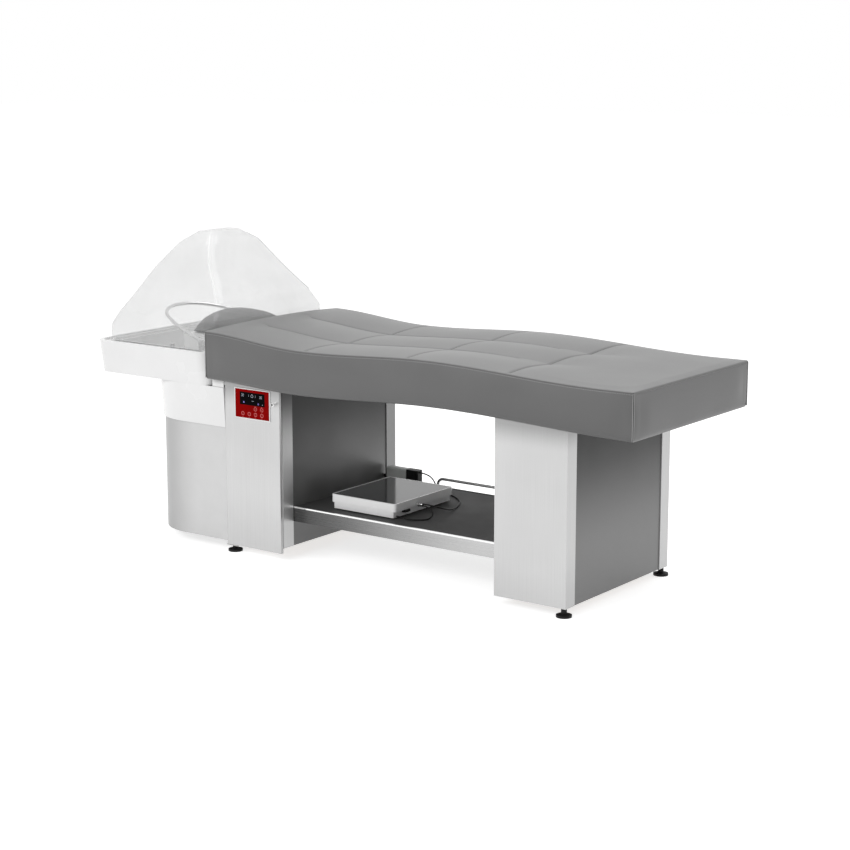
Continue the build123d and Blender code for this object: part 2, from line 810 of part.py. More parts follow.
def drain_trap():
    """Bottle trap with the outlet that passes through the back of the column."""
    z0 = trap_z()
    body = rod_z(bowl_x, 0, z0, z0 + trap_height, trap_radius)
    body = chamfer(body.edges().filter_by(GeomType.CIRCLE).sort_by(Axis.Z)[0], trap_radius / 4)
    out_z = outlet_z()
    outlet = rod_y(bowl_x, 0, housing_half_width + spigot_out, out_z, drain_radius)
    wall_y = housing_half_width - column_step
    outlet = outlet + rod_y(bowl_x, wall_y, wall_y + outlet_collar, out_z, outlet_collar_radius)
    bore = rod_y(bowl_x, trap_radius, housing_half_width + spigot_out + overrun, out_z,
                 drain_radius - drain_wall)
    return Compound([drain_pipe(), body + outlet - bore])


def tray_bracket():
    """Steel bar on the pedestal that carries the tray's lip."""
    return block(tray_foot + tray_lip, head_outer, -tray_half_width + tray_corner,
                 tray_half_width - tray_corner, tray_bottom, tray_bottom + bracket_height)


def pillow_bridge():
    """Moulded bridge over the pan: a top plate on two side walls and a foot on the end deck."""
    w = bridge_wall
    x1 = tray_foot - tray_end_deck
    x0 = x1 + w - bridge_length
    z1 = pillow_base - soft_gap
    half = bridge_half_width
    bridge = block(x0, pillow_foot, -half, half, z1 - bridge_thickness, z1)
    bridge = bridge + block(x1 + w, pillow_foot, -half, half, ledge_z, z1)
    for y0, y1 in ((-half, w - half), (half - w, half)):
        bridge = bridge + block(x0, x1, y0, y1, pan_z, z1)
    return bridge


def head_pillow():
    """Domed neck pillow, highest in the middle and drawn in at its ends."""
    x1 = pillow_foot
    x0 = x1 - pillow_length
    sections = []
    for place, rise in zip(pillow_station_shares, pillow_rise_shares):
        draw = pillow_end_draw * place * place
        xa, xb = x0 + draw, x1 - draw / 2
        crest_x = xa + (xb - xa) * pillow_crest_share
        edge = pillow_base + pillow_edge * min(1.0, rise + pillow_rise_shares[0])
        crest = pillow_base + pillow_crest * rise
        y = pillow_half_width * place
        with BuildSketch(Plane.XZ.offset(-y)) as sketch:
            with BuildLine():
                Polyline((xa, edge), (xa, pillow_base), (xb, pillow_base), (xb, edge))
                Line((xb, edge), (xb - pillow_edge * rise, edge + pillow_edge * rise))
                ThreePointArc((xb - pillow_edge * rise, edge + pillow_edge * rise),
                              (crest_x + (xb - crest_x) / 2, edge + (crest - edge) * pillow_back_share),
                              (crest_x, crest))
                ThreePointArc((crest_x, crest),
                              (xa + (crest_x - xa) * pillow_front_place_share,
                               edge + (crest - edge) * pillow_front_share), (xa, edge))
            make_face()
        sections.append(sketch.sketch)
    return loft(sections, ruled=True)


def ring_point(reach_share, width_share):
    """Place on the ring's centre line, at rest."""
    tilt = math.radians(ring_tilt)
    reach = ring_reach * reach_share
    return (ring_x - reach * math.cos(tilt), -ring_half_width * width_share,
            ring_pivot_z + reach * math.sin(tilt))


def bend_radii(points):
    """Radius of each corner: as wide as its two runs allow."""
    radii = []
    for a, b, c in zip(points, points[1:], points[2:]):
        u, v = Vector(*b) - Vector(*a), Vector(*c) - Vector(*b)
        turn = math.radians(u.get_angle(v))
        radii.append(bend_run_share * min(u.length, v.length) / math.tan(turn / 2))
    return radii


def tube_along(points, radii, radius):
    path = FilletPolyline(*points, radius=radii)
    start = Vector(*points[1]) - Vector(*points[0])
    tube = sweep(Plane(origin=points[0], z_dir=start) * Circle(radius), path=path)
    full = math.pi * radius ** 2 * path.length
    print("tube length", round(path.length, 1), "volume share", round(tube.volume / full, 4))
    return tube


def water_ring():
    """Arched tube that turns on two pivots, one at each side of the pillow."""
    near = [ring_point(r, w) for r, w in zip(ring_reach_shares, ring_width_shares)]
    points = near + [(x, -y, z) for x, y, z in reversed(near)]
    ring = tube_along(points, bend_radii(points), ring_radius)
    for side in (-1, 1):
        y0, y1 = sorted((side * (ring_half_width - ring_boss_length / 2),
                         side * (ring_half_width + ring_boss_length / 2)))
        ring = ring + rod_y(ring_x, y0, y1, ring_pivot_z, ring_boss_radius)
    for side in (-1, 1):
        y0, y1 = sorted((side * (ring_half_width - ring_boss_length),
                         side * (ring_half_width + ring_boss_length)))
        ring = ring - rod_y(ring_x, y0, y1, ring_pivot_z, ring_pin_radius + fit_gap)
    return ring


def tray_fittings():
    """Posts from the tray's floor to the ring's pivots, each with its pin, and the valve's riser."""
    posts = []
    for side in (-1, 1):
        gap = soft_gap
        y_in = side * (ring_half_width + ring_boss_length / 2 + gap)
        y_out = y_in + side * ring_post_thickness
        y0, y1 = sorted((y_in, y_out))
        post = block(ring_x - ring_post, ring_x + ring_post, y0, y1, pan_z, ring_pivot_z)
        post = post + rod_y(ring_x, y0, y1, ring_pivot_z, ring_post)
        p0, p1 = sorted((y_in, side * (ring_half_width - ring_boss_length / 2)))
        posts.append(post + rod_y(ring_x, p0, p1, ring_pivot_z, ring_pin_radius))
    return Compound(posts + [valve_riser()])


def valve_place():
    return tray_foot - valve_offset, -valve_side


def valve_knob():
    """Fluted knob on the riser."""
    x, y = valve_place()
    z0 = pan_z + valve_riser_height
    knob = rod_z(x, y, z0 + wood_gap, z0 + valve_height, valve_radius)
    for i in range(valve_flutes):
        turn = 2 * math.pi * i / valve_flutes
        knob = knob - rod_z(x + valve_radius * math.cos(turn), y + valve_radius * math.sin(turn),
                            z0 - overrun, z0 + valve_height + overrun, valve_flute_radius)
    return knob - rod_z(x, y, z0 - overrun, z0 + valve_height / 2, valve_stem_radius + fit_gap)


def valve_riser():
    """Pipe from the pan's floor, with a base flange and the stem that the knob turns on."""
    x, y = valve_place()
    z0 = pan_z + valve_riser_height
    riser = rod_z(x, y, pan_z, z0, valve_riser_radius)
    riser = riser + rod_z(x, y, pan_z, pan_z + valve_flange_height, valve_radius)
    return riser + rod_z(x, y, z0, z0 + valve_height / 2 - wood_gap, valve_stem_radius)


def hood_level(i, inset):
    """Outline of the hood at one of its heights."""
    length = tray_length - hood_inset - hood_side_gap
    x0 = head_end + hood_inset + length * hood_head_draw_shares[i] + inset
    x1 = tray_foot - hood_side_gap - length * hood_foot_draw_shares[i] - inset
    half = (tray_half_width - hood_inset) * hood_width_shares[i] - inset
    corner = min(hood_corner - inset, hood_corner_share * half)
    return rounded(x0, x1, half, corner, ledge_z + soft_gap + hood_heights[i])


def hood_body(inset):
    levels = [hood_level(i, inset) for i in range(len(hood_heights))]
    body = loft(levels, ruled=True)
    last = hood_level(len(hood_heights) - 1, inset)
    small = hood_level(len(hood_heights) - 1, inset + hood_cap)
    return body + loft([last, Pos(0, 0, hood_cap * hood_cap_share - inset) * small], ruled=True)


def hood_shell():
    """Clear folded hood: a tall rounded pyramid with an arched opening for the neck."""
    shell = hood_body(0) - hood_body(hood_thickness)
    x1 = tray_foot + overrun
    z0 = ledge_z + soft_gap + neck_bottom
    z1 = ledge_z + soft_gap + neck_top - neck_half_width
    arch = block(bowl_x + bowl_length / 2, x1, -neck_half_width, neck_half_width, z0, z1)
    arch = arch + rod_x(bowl_x + bowl_length / 2, x1, 0, z1, neck_half_width)
    arch = arch - block(bowl_x, x1 + overrun, -tray_half_width, tray_half_width, pan_z, z0)
    return shell - arch


def hood_hoop_ring():
    """Frame round the foot of the hood, inside its skirt."""
    t = hood_thickness
    z0 = ledge_z + soft_gap
    slab = block(head_end, tray_foot, -tray_half_width, tray_half_width, z0, z0 + hood_hoop)
    return (hood_body(t) - hood_body(t + hood_hoop)) & slab


def hose_exit_z():
    return pan_z - bowl_depth / 2


def hose_y():
    return pump_y + pump_head_length / 2


def heater_tank():
    """Upright boiler with domed ends and two ports."""
    x = (head_outer + head_inner) / 2
    z0 = head_carcass_clearance + base_plate
    with BuildPart() as tank:
        with BuildSketch(Plane.XZ):
            with BuildLine():
                Polyline((0, 0), (tank_radius * tank_foot_share, 0), (tank_radius, tank_dome),
                         (tank_radius, tank_height - tank_dome))
                ThreePointArc((tank_radius, tank_height - tank_dome),
                              (tank_radius * tank_crown_share, tank_height - tank_dome * tank_crown_drop_share),
                              (0, tank_height))
                Line((0, tank_height), (0, 0))
            make_face()
        revolve(axis=Axis.Z)
    port = rod_z(0, 0, tank_height - tank_dome / 2, tank_height + tank_port_length, tank_port_radius)
    return Pos(x, tank_y, z0) * (tank.part + port)


def pump():
    """Circulation pump: motor, volute and foot."""
    x = (head_outer + head_inner) / 2
    z0 = head_carcass_clearance + base_plate
    z = z0 + pump_foot + pump_head_radius
    motor = rod_y(x, pump_y - pump_length, pump_y, z, pump_radius)
    head = rod_y(x, pump_y, pump_y + pump_head_length, z, pump_head_radius)
    port_y = pump_y + pump_head_length / 2
    port = rod_z(x, port_y, z, z + pump_head_radius + pump_port_length, pump_port_radius)
    foot = block(x - pump_radius, x + pump_radius, pump_y - pump_length, pump_y + pump_head_length,
                 z0, z - pump_radius * pump_saddle_share)
    return motor + head + port + foot


def pump_hose():
    """Pressure hose from the pump, up and out through the panel into the housing."""
    x = (head_outer + head_inner) / 2
    y = hose_y()
    z0 = head_carcass_clearance + base_plate + pump_foot + 2 * pump_head_radius + pump_port_length
    z1 = hose_exit_z()
    x2 = head_outer - 2 * hose_bend
    path = FilletPolyline((x, y, z0), (x, y, z1), (x2, y, z1), (x2, y, tray_bottom), radius=hose_bend)
    return sweep(Plane(origin=(x, y, z0), z_dir=(0, 0, 1)) * Circle(hose_radius), path=path)


def water_inlet():
    """Brass inlet in the rear board, with its nut and a plain spigot."""
    x = inlet_x()
    body = rod_y(x, inner_y - inlet_nut_length, half_depth + inlet_length + inlet_nut_length,
                 inlet_height, inlet_radius)
    nut = Pos(x, half_depth, inlet_height) * Rot(-90, 0, 0) * extrude(
        RegularPolygon(inlet_nut_across / 2, 6, major_radius=False), inlet_nut_length)
    bore = rod_y(x, inner_y - 2 * inlet_nut_length, half_depth + inlet_length + 2 * inlet_nut_length,
                 inlet_height, inlet_radius * inlet_bore_share)
    return body + nut - bore


def mains_inlet():
    """Moulded mains socket with its flange, let into the rear board."""
    x = inlet_x()
    w, h = mains_width / 2 - wood_gap, mains_height / 2 - wood_gap
    body = block(x - w, x + w, half_depth - mains_depth, half_depth, mains_z - h, mains_z + h)
    flange = block(x - w - 2 * bezel, x + w + 2 * bezel, half_depth, half_depth + bezel / 2,
                   mains_z - h - bezel, mains_z + h + bezel)
    hole = block(x - w / 2, x + w / 2, half_depth - mains_depth + bezel, half_depth + overrun,
                 mains_z - h / 2, mains_z + h / 2)
    return body + flange - hole


def shelf_board():
    top = shelf_height - shelf_mat_thickness
    x0 = head_inner - panel_recess
    x1 = foot_inner + panel_recess
    return block(x0, x1, shelf_front_y + rail_depth, shelf_rear_y - rail_depth,
                 top - shelf_board_thickness, top)


def shelf_mat():
    x0 = head_inner - panel_recess
    x1 = foot_inner + panel_recess
    z0 = shelf_height - shelf_mat_thickness
    mat = block(x0, x1, shelf_front_y + trim_width, inner_y, z0, shelf_height)
    return mat + block(head_inner, foot_inner, inner_y, shelf_rear_y - sheet, z0, shelf_height)


def shelf_trims():
    """Bright edge strips along the front rail and the rear edge of the mat."""
    top = shelf_height - shelf_mat_thickness
    front = block(head_inner - panel_recess, foot_inner + panel_recess, shelf_front_y,
                  shelf_front_y + trim_width, top, shelf_height + trim_height)
    rear = block(head_inner, foot_inner, shelf_rear_y - sheet, shelf_rear_y,
                 top - rear_rail_height, shelf_height + trim_height)
    return Compound([front, rear])


def guard_rail():
    """Bent tube along the rear edge of the shelf, both ends turned down on to its rear rail."""
    x0 = head_inner + guard_start
    x1 = foot_inner - guard_end
    y = shelf_rear_y + guard_radius
    z0 = shelf_height - rear_rail_height
    z1 = shelf_height + guard_rise
    path = FilletPolyline((x0, y, z0), (x0, y, z1), (x1, y, z1), (x1, y, z0), radius=guard_bend)
    rail = sweep(Plane(origin=(x0, y, z0), z_dir=(0, 0, 1)) * Circle(guard_radius), path=path)
    seat_z = shelf_height - shelf_mat_thickness - rear_rail_height / 2
    for x in (x0, x1):
        rail = rail + rod_y(x, shelf_rear_y, y, seat_z, guard_radius * guard_seat_share)
    return rail


def warmer_x():
    x0 = head_inner + warmer_offset
    return x0, x0 + warmer_length


def warmer_case():
    """Low case with rounded corners, a narrower base and a rim round its glass top."""
    x0, x1 = warmer_x()
    z0 = shelf_height + warmer_foot_height
    y_mid = warmer_front + warmer_width / 2
    upper = Pos((x0 + x1) / 2, y_mid, z0 + warmer_step_height) * extrude(
        RectangleRounded(warmer_length, warmer_width, warmer_corner), warmer_height - warmer_step_height)
    lower = Pos((x0 + x1) / 2, y_mid, z0) * extrude(
        RectangleRounded(warmer_length - 2 * warmer_step, warmer_width - warmer_step / 3, warmer_corner / 2),
        warmer_step_height)
    case = upper + lower
    tray = Pos((x0 + x1) / 2, y_mid, z0 + warmer_height - warmer_glass_thickness) * extrude(
        RectangleRounded(warmer_length - 2 * warmer_rim, warmer_width - 2 * warmer_rim,
                         warmer_corner - warmer_rim), warmer_glass_thickness + overrun)
    return case - tray


def warmer_glass():
    x0, x1 = warmer_x()
    z0 = shelf_height + warmer_foot_height
    y_mid = warmer_front + warmer_width / 2
    return Pos((x0 + x1) / 2, y_mid, z0 + warmer_height - warmer_glass_thickness) * extrude(
        RectangleRounded(warmer_length - 2 * warmer_rim, warmer_width - 2 * warmer_rim,
                         warmer_corner - warmer_rim), warmer_glass_thickness - soft_gap)


def warmer_feet():
    x0, x1 = warmer_x()
    y0, y1 = warmer_front, warmer_front + warmer_width
    m = warmer_foot_inset
    feet = [rod_z(x, y, shelf_height, shelf_height + warmer_foot_height, warmer_foot_radius)
            for x in (x0 + m, x1 - m) for y in (y0 + m, y1 - m)]
    return Compound(feet)


def socket_place():
    z = shelf_height + warmer_foot_height + warmer_step_height + socket_radius
    return warmer_x()[1], warmer_front + warmer_width * socket_share, z


def warmer_socket():
    """Metal socket on the foot side of the warming plate, with the plug in it."""
    x, y, z = socket_place()
    socket = rod_x(x, x + socket_length, y, z, socket_radius)
    return socket + rod_x(x + socket_length, x + socket_length + plug_length, y, z, plug_radius)


def warmer_switch():
    x = warmer_x()[1] - warmer_step
    y = warmer_front + warmer_width * switch_share
    z = shelf_height + warmer_foot_height + warmer_step_height - switch_height - soft_gap
    return block(x, x + switch_depth + warmer_step, y, y + switch_length, z, z + switch_height)


def power_strip():
    x0 = head_inner + strip_offset
    y1 = inner_y + strip_corner
    strip = block(x0, x0 + strip_length, y1 - strip_depth, y1, shelf_height, shelf_height + strip_height)
    return fillet(strip.edges().filter_by(Axis.X).sort_by(Axis.Z)[-2:], strip_corner)


def adapter():
    x0 = head_inner + strip_offset + strip_length
    y1 = inner_y + strip_corner / 2
    z0 = shelf_height + adapter_lift
    body = block(x0, x0 + adapter_length, y1 - adapter_depth, y1, z0, z0 + adapter_height)
    return chamfer(body.edges().filter_by(Axis.Z), strip_corner / 4)


def lead_gland():
    return rod_x(head_inner - panel_recess, head_inner - panel_recess + gland_length, gland_y,
                 shelf_height + gland_height, gland_radius)


def adapter_lead_points():
    """From the adapter's end, down behind the warming plate and along its foot side to the plug."""
    x, y, z = socket_place()
    start = (head_inner + strip_offset + strip_length + adapter_length,
             inner_y + (strip_corner - adapter_depth) / 2, shelf_height + adapter_lift + adapter_lead_height)
    end = (x + socket_length + plug_length, y, z + plug_lead_step)
    last = (end[0] + adapter_lead_straight, end[1], end[2])
    return [start] + list(adapter_lead_route) + [last, end]


def loop_lead_points():
    """From the plug out on to the shelf and back under the front corner of the warming plate."""
    x, y, z = socket_place()
    start = (x + socket_length + plug_length, y, z - plug_lead_step)
    end = (x - warmer_step, loop_lead_route[-1][1], loop_lead_route[-1][2])
    first = (start[0] + loop_lead_straight, start[1], start[2])
    return [start, first] + list(loop_lead_route) + [end]


def lead(points):
    radii = bend_radii(points)
    print("bend radii", [round(radius, 1) for radius in radii])
    return tube_along(points, radii, lead_radius)


def export_all(parts):
    os.makedirs("parts", exist_ok=True)
    for name, shape in parts.items():
        shape.label = name
        export_step(shape, "parts/" + name + ".step")


def all_parts():
    deck = deck_board()
    made = {"deck_board": deck, "mattress": mattress(deck)}
    made.update(foot_pedestal())
    made.update(head_pedestal())
    made["deck_saddles"] = Compound([saddle(foot_inner, foot_outer), saddle(head_outer, head_inner)])
    made["foot_blocks"] = foot_blocks()
    for name, place in foot_places().items():
        made["levelling_foot_" + name] = levelling_foot(*place)
    made["service_door"] = service_door()
    made["panel_frame"], made["panel_plate"] = control_panel()
    made["display_glass"] = display_glass()
    made["controller_housing"] = controller_housing()
    made["door_lock"] = lock()
    made["door_pivots"] = door_pivots()
    made["shelf_rails"] = shelf_rails()
    made["shelf_board"] = shelf_board()
    made["shelf_mat"] = shelf_mat()
    made["shelf_trims"] = shelf_trims()
    made["shelf_guard_rail"] = guard_rail()
    made["warmer_case"] = warmer_case()
    made["warmer_glass"] = warmer_glass()
    made["warmer_feet"] = warmer_feet()
    made["warmer_socket"] = warmer_socket()
    made["warmer_switch"] = warmer_switch()
    made["power_strip"] = power_strip()
    made["power_adapter"] = adapter()
    made["lead_gland"] = lead_gland()
    made["adapter_lead"] = lead(adapter_lead_points())
    made["loop_lead"] = lead(loop_lead_points())
    made["basin_tray"] = basin_tray()
    made["bowl_housing"] = bowl_housing()
    made["column_skirt"] = column_skirt()
    made["wash_bowl"] = wash_bowl()
    made["drain_strainer"] = drain_strainer()
    made["drain_trap"] = drain_trap()
    made["tray_bracket"] = tray_bracket()
    made["pillow_bridge"] = pillow_bridge()
    made["head_pillow"] = head_pillow()
    made["water_ring"] = water_ring()
    made["tray_fittings"] = tray_fittings()
    made["valve_knob"] = valve_knob()
    made["hood_shell"] = hood_shell()
    made["hood_hoop"] = hood_hoop_ring()
    made["heater_tank"] = heater_tank()
    made["circulation_pump"] = pump()
    made["pump_hose"] = pump_hose()
    made["water_inlet"] = water_inlet()
    made["mains_inlet"] = mains_inlet()
    return made


if __name__ == "__main__":
    export_all(all_parts())
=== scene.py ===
import bpy
import math
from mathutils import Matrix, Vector
from mathutils.bvhtree import BVHTree

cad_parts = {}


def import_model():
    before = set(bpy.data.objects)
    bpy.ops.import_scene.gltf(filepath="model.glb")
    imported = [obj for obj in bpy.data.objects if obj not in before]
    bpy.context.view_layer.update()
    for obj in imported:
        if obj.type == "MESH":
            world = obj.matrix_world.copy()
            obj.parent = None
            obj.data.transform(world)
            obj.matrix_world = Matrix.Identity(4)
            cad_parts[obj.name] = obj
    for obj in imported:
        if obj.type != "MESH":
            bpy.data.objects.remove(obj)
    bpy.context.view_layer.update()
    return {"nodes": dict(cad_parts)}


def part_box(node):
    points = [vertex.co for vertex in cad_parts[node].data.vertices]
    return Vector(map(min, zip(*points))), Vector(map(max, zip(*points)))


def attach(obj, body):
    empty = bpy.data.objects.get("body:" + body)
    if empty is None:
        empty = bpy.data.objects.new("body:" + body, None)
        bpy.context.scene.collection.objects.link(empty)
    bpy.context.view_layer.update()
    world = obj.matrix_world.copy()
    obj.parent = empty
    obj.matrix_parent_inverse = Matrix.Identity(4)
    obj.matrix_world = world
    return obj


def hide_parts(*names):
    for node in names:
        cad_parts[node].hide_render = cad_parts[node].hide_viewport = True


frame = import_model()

# Hair washing bed. Metres, in the CAD model's frame: X to the foot end, Y to the back, Z up.

MM = 0.001
HARD_ANGLE, SOFT_ANGLE = 35, 60


# Small helpers for modelling

def deselect():
    bpy.ops.object.select_all(action="DESELECT")


def active(piece):
    deselect()
    piece.select_set(True)
    bpy.context.view_layer.objects.active = piece


def named(name):
    """Takes the active object as a new piece of that name."""
    piece = bpy.context.object
    piece.name = name
    piece.data.name = name
    return piece


def placed(name, data):
    """A new object with that data, linked to the scene."""
    made = bpy.data.objects.new(name, data)
    bpy.context.scene.collection.objects.link(made)
    return made


def settle(piece):
    """Puts the object's place into its mesh, so that it sits at the origin."""
    active(piece)
    bpy.ops.object.transform_apply(location=True, rotation=True, scale=True)


def edit_whole(piece):
    """Starts edit mode with all of the piece selected."""
    active(piece)
    bpy.ops.object.mode_set(mode="EDIT")
    bpy.ops.mesh.select_all(action="SELECT")


def end_outwards():
    """Turns all faces outwards and ends edit mode."""
    bpy.ops.mesh.select_all(action="SELECT")
    bpy.ops.mesh.normals_make_consistent(inside=False)
    bpy.ops.object.mode_set(mode="OBJECT")


def apply_modifier(piece, kind, **settings):
    active(piece)
    made = piece.modifiers.new(kind.title(), kind)
    for key, value in settings.items():
        setattr(made, key, value)
    bpy.ops.object.modifier_apply(modifier=made.name)


def smooth(piece, degrees=HARD_ANGLE):
    active(piece)
    bpy.ops.object.shade_smooth_by_angle(angle=math.radians(degrees))


def joined(parts, name):
    """Joins the parts into one piece of that name."""
    deselect()
    for part in parts:
        part.select_set(True)
    bpy.context.view_layer.objects.active = parts[0]
    bpy.ops.object.join()
    piece = named(name)
    smooth(piece)
    return piece


def ray_tree(mesh):
    """The mesh's faces, ready for rays to be cast on them."""
    return BVHTree.FromPolygons([v.co.copy() for v in mesh.vertices], [p.vertices[:] for p in mesh.polygons])


def finish_piece(piece, body, slot, material, *replaced):
    piece.data.materials.clear()
    piece.data.materials.append(material)
    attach(piece, body)
    if replaced:
        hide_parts(*replaced)
    return piece


def linear(code):
    """sRGB hex to linear colour."""
    values = [int(code[i:i + 2], 16) / 255 for i in (1, 3, 5)]
    return [((v + 0.055) / 1.055) ** 2.4 if v > 0.04045 else v / 12.92 for v in values] + [1.0]


def link(tree, source, socket):
    """Links an output, or a node's first output, to an input."""
    tree.links.new(source.outputs[0] if isinstance(source, bpy.types.Node) else source, socket)


def add(tree, kind, settings=None, inputs=None, stops=()):
    """Adds one shader node. Its inputs are values, nodes or outputs, and its stops a ramp's places and colours."""
    made = tree.nodes.new(kind)
    for key, value in (settings or {}).items():
        setattr(made, key, value)
    for key, value in (inputs or {}).items():
        socket = made.inputs[key]
        if isinstance(value, (bpy.types.Node, bpy.types.NodeSocket)):
            link(tree, value, socket)
        else:
            socket.default_value = value
    for i, (place, colour) in enumerate(stops):
        made.color_ramp.elements[i].position = place
        made.color_ramp.elements[i].color = colour
    return made


def start_material(name, **constants):
    """A material with its Principled shader, whose constant sockets are set directly."""
    material = bpy.data.materials.new(name)
    material.use_nodes = True
    tree = material.node_tree
    shader = tree.nodes["Principled BSDF"]
    for key, value in constants.items():
        shader.inputs[key.replace("_", " ")].default_value = value
    return material, tree, shader


def wire(tree, shader, **sources):
    """Links nodes or outputs to the shader's sockets of those names."""
    for key, source in sources.items():
        link(tree, source, shader.inputs[key.replace("_", " ")])


def object_space(tree, stretch=(1, 1, 1)):
    """Object coordinates, stretched along X, Y and Z."""
    place = add(tree, "ShaderNodeTexCoord")
    return add(tree, "ShaderNodeMapping", inputs={"Vector": place.outputs["Object"], "Scale": stretch})


def axes(tree, kind):
    """X, Y and Z of the object's own coordinates, or of its own normal."""
    place = add(tree, "ShaderNodeTexCoord")
    return add(tree, "ShaderNodeSeparateXYZ", inputs={0: place.outputs[kind]}).outputs


def grey(value):
    return (value, value, value, 1.0)


# Materials

AXIS_X, AXIS_Y, AXIS_Z = 0, 1, 2

# Noise stays mostly between these values, so the two tones of a finish lie there
LOW, HIGH = 0.35, 0.65


def leatherette(name, light, dark):
    """PVC artificial leather, embossed with a fine pebble grain: satin, a little lighter and duller where worn, with
    painted shade on its upright sides and underneath.
    """
    material, tree, shader = start_material(name, Metallic=0.0, IOR=1.55, Coat_Weight=0.35, Coat_Roughness=0.38)
    space = object_space(tree)
    # Real pebbles are near 1 mm; they are drawn 2.2 mm across so that they show
    pebbles = add(tree, "ShaderNodeTexVoronoi", {"feature": "SMOOTH_F1"},
                  {"Vector": space, "Scale": 1 / (2.2 * MM), "Smoothness": 0.6})
    pores = add(tree, "ShaderNodeTexNoise", inputs={"Vector": space, "Scale": 1 / (0.9 * MM), "Detail": 3.0})
    wear = add(tree, "ShaderNodeTexNoise", inputs={"Vector": space, "Scale": 1 / (260 * MM), "Detail": 4.0})
    tone = add(tree, "ShaderNodeValToRGB", inputs={"Fac": wear}, stops=((LOW, linear(dark)), (HIGH, linear(light))))
    # Painted shade: the upright long sides are drawn darker than the top and the ends, and so is what faces down
    parts = axes(tree, "Normal")
    turned = add(tree, "ShaderNodeMath", {"operation": "ABSOLUTE"}, {0: parts[AXIS_Y]})
    side = add(tree, "ShaderNodeMapRange", {"interpolation_type": "SMOOTHSTEP"},
               {"Value": turned, "From Min": 0.5, "From Max": 0.98, "To Min": 1.0, "To Max": 0.76})
    under = add(tree, "ShaderNodeMapRange", {"interpolation_type": "SMOOTHSTEP"},
                {"Value": parts[AXIS_Z], "From Min": -0.28, "From Max": 0.1, "To Min": 0.72, "To Max": 1.0})
    both = add(tree, "ShaderNodeMath", {"operation": "MULTIPLY"}, {0: side, 1: under})
    mixed = add(tree, "ShaderNodeVectorMath", {"operation": "SCALE"}, {0: tone, "Scale": both})
    grain = add(tree, "ShaderNodeBump", inputs={"Height": pebbles, "Strength": 0.16, "Distance": 0.5 * MM})
    fine = add(tree, "ShaderNodeBump",
               inputs={"Height": pores, "Strength": 0.10, "Distance": 0.3 * MM, "Normal": grain})
    gloss = add(tree, "ShaderNodeValToRGB", inputs={"Fac": wear}, stops=((LOW, grey(0.40)), (HIGH, grey(0.50))))
    wire(tree, shader, Base_Color=mixed, Normal=fine, Roughness=gloss)
    return material


def brushed_metal(name, light, dark, rough_low, rough_high, along):
    """Sheet steel brushed one way: fine lines of lighter and darker metal along the brushing."""
    material, tree, shader = start_material(name, Metallic=0.9, Anisotropic=0.5)
    # Brush lines are 0.3 mm wide in fact and are drawn 1.2 mm wide and 240 mm long
    across, length = 1 / (1.2 * MM), 1 / (240 * MM)
    stretch = [length if axis == along else across for axis in (AXIS_X, AXIS_Y, AXIS_Z)]
    lines = add(tree, "ShaderNodeTexNoise",
                inputs={"Vector": object_space(tree, stretch), "Scale": 1.0, "Detail": 4.0})
    cloud = add(tree, "ShaderNodeTexNoise",
                inputs={"Vector": object_space(tree), "Scale": 1 / (300 * MM), "Detail": 2.0})
    tone = add(tree, "ShaderNodeValToRGB", inputs={"Fac": lines}, stops=((0.3, linear(dark)), (0.7, linear(light))))
    patch = add(tree, "ShaderNodeValToRGB", inputs={"Fac": cloud}, stops=((LOW, grey(0.94)), (HIGH, grey(1.0))))
    mixed = add(tree, "ShaderNodeMix", {"data_type": "RGBA", "blend_type": "MULTIPLY"},
                {"Factor": 1.0, "A": tone, "B": patch})
    relief = add(tree, "ShaderNodeBump", inputs={"Height": lines, "Strength": 0.05, "Distance": 0.1 * MM})
    gloss = add(tree, "ShaderNodeValToRGB", inputs={"Fac": lines},
                stops=((0.3, grey(rough_low)), (0.7, grey(rough_high))))
    wire(tree, shader, Base_Color=mixed.outputs["Result"], Normal=relief, Roughness=gloss)
    return material


def moulded(name, light, dark, roughness, grain_mm=1.0, bump=0.04, coat=0.0, metallic=0.0, specular=0.5):
    """Moulded, painted or cast surface: slight cloudiness, orange peel and a trace of dust in its gloss."""
    material, tree, shader = start_material(name, Metallic=metallic, IOR=1.46, Coat_Weight=coat,
                                            Coat_Roughness=0.05, Specular_IOR_Level=specular)
    space = object_space(tree)
    peel = add(tree, "ShaderNodeTexNoise", inputs={"Vector": space, "Scale": 1 / (grain_mm * MM), "Detail": 2.0})
    cloud = add(tree, "ShaderNodeTexNoise", inputs={"Vector": space, "Scale": 1 / (120 * MM), "Detail": 3.0})
    relief = add(tree, "ShaderNodeBump", inputs={"Height": peel, "Strength": bump, "Distance": 0.3 * MM})
    tone = add(tree, "ShaderNodeValToRGB", inputs={"Fac": cloud}, stops=((LOW, linear(dark)), (HIGH, linear(light))))
    gloss = add(tree, "ShaderNodeValToRGB", inputs={"Fac": cloud},
                stops=((LOW, grey(roughness)), (HIGH, grey(roughness * 1.25))))
    wire(tree, shader, Base_Color=tone, Normal=relief, Roughness=gloss)
    return material


def with_painted_shade(material, axis, start, end, first, last):
    """Scales a finish's colour along one axis, as painted shade under the dark couch and a painted reflection of the
    pale floor.
    """
    tree = material.node_tree
    shader = tree.nodes["Principled BSDF"]
    tone = shader.inputs["Base Color"].links[0].from_socket
    scale = add(tree, "ShaderNodeMapRange", {"interpolation_type": "SMOOTHSTEP"},
                {"Value": axes(tree, "Object")[axis], "From Min": start, "From Max": end,
                 "To Min": first, "To Max": last})
    mixed = add(tree, "ShaderNodeVectorMath", {"operation": "SCALE"}, {0: tone, "Scale": scale})
    wire(tree, shader, Base_Color=mixed)
    return material


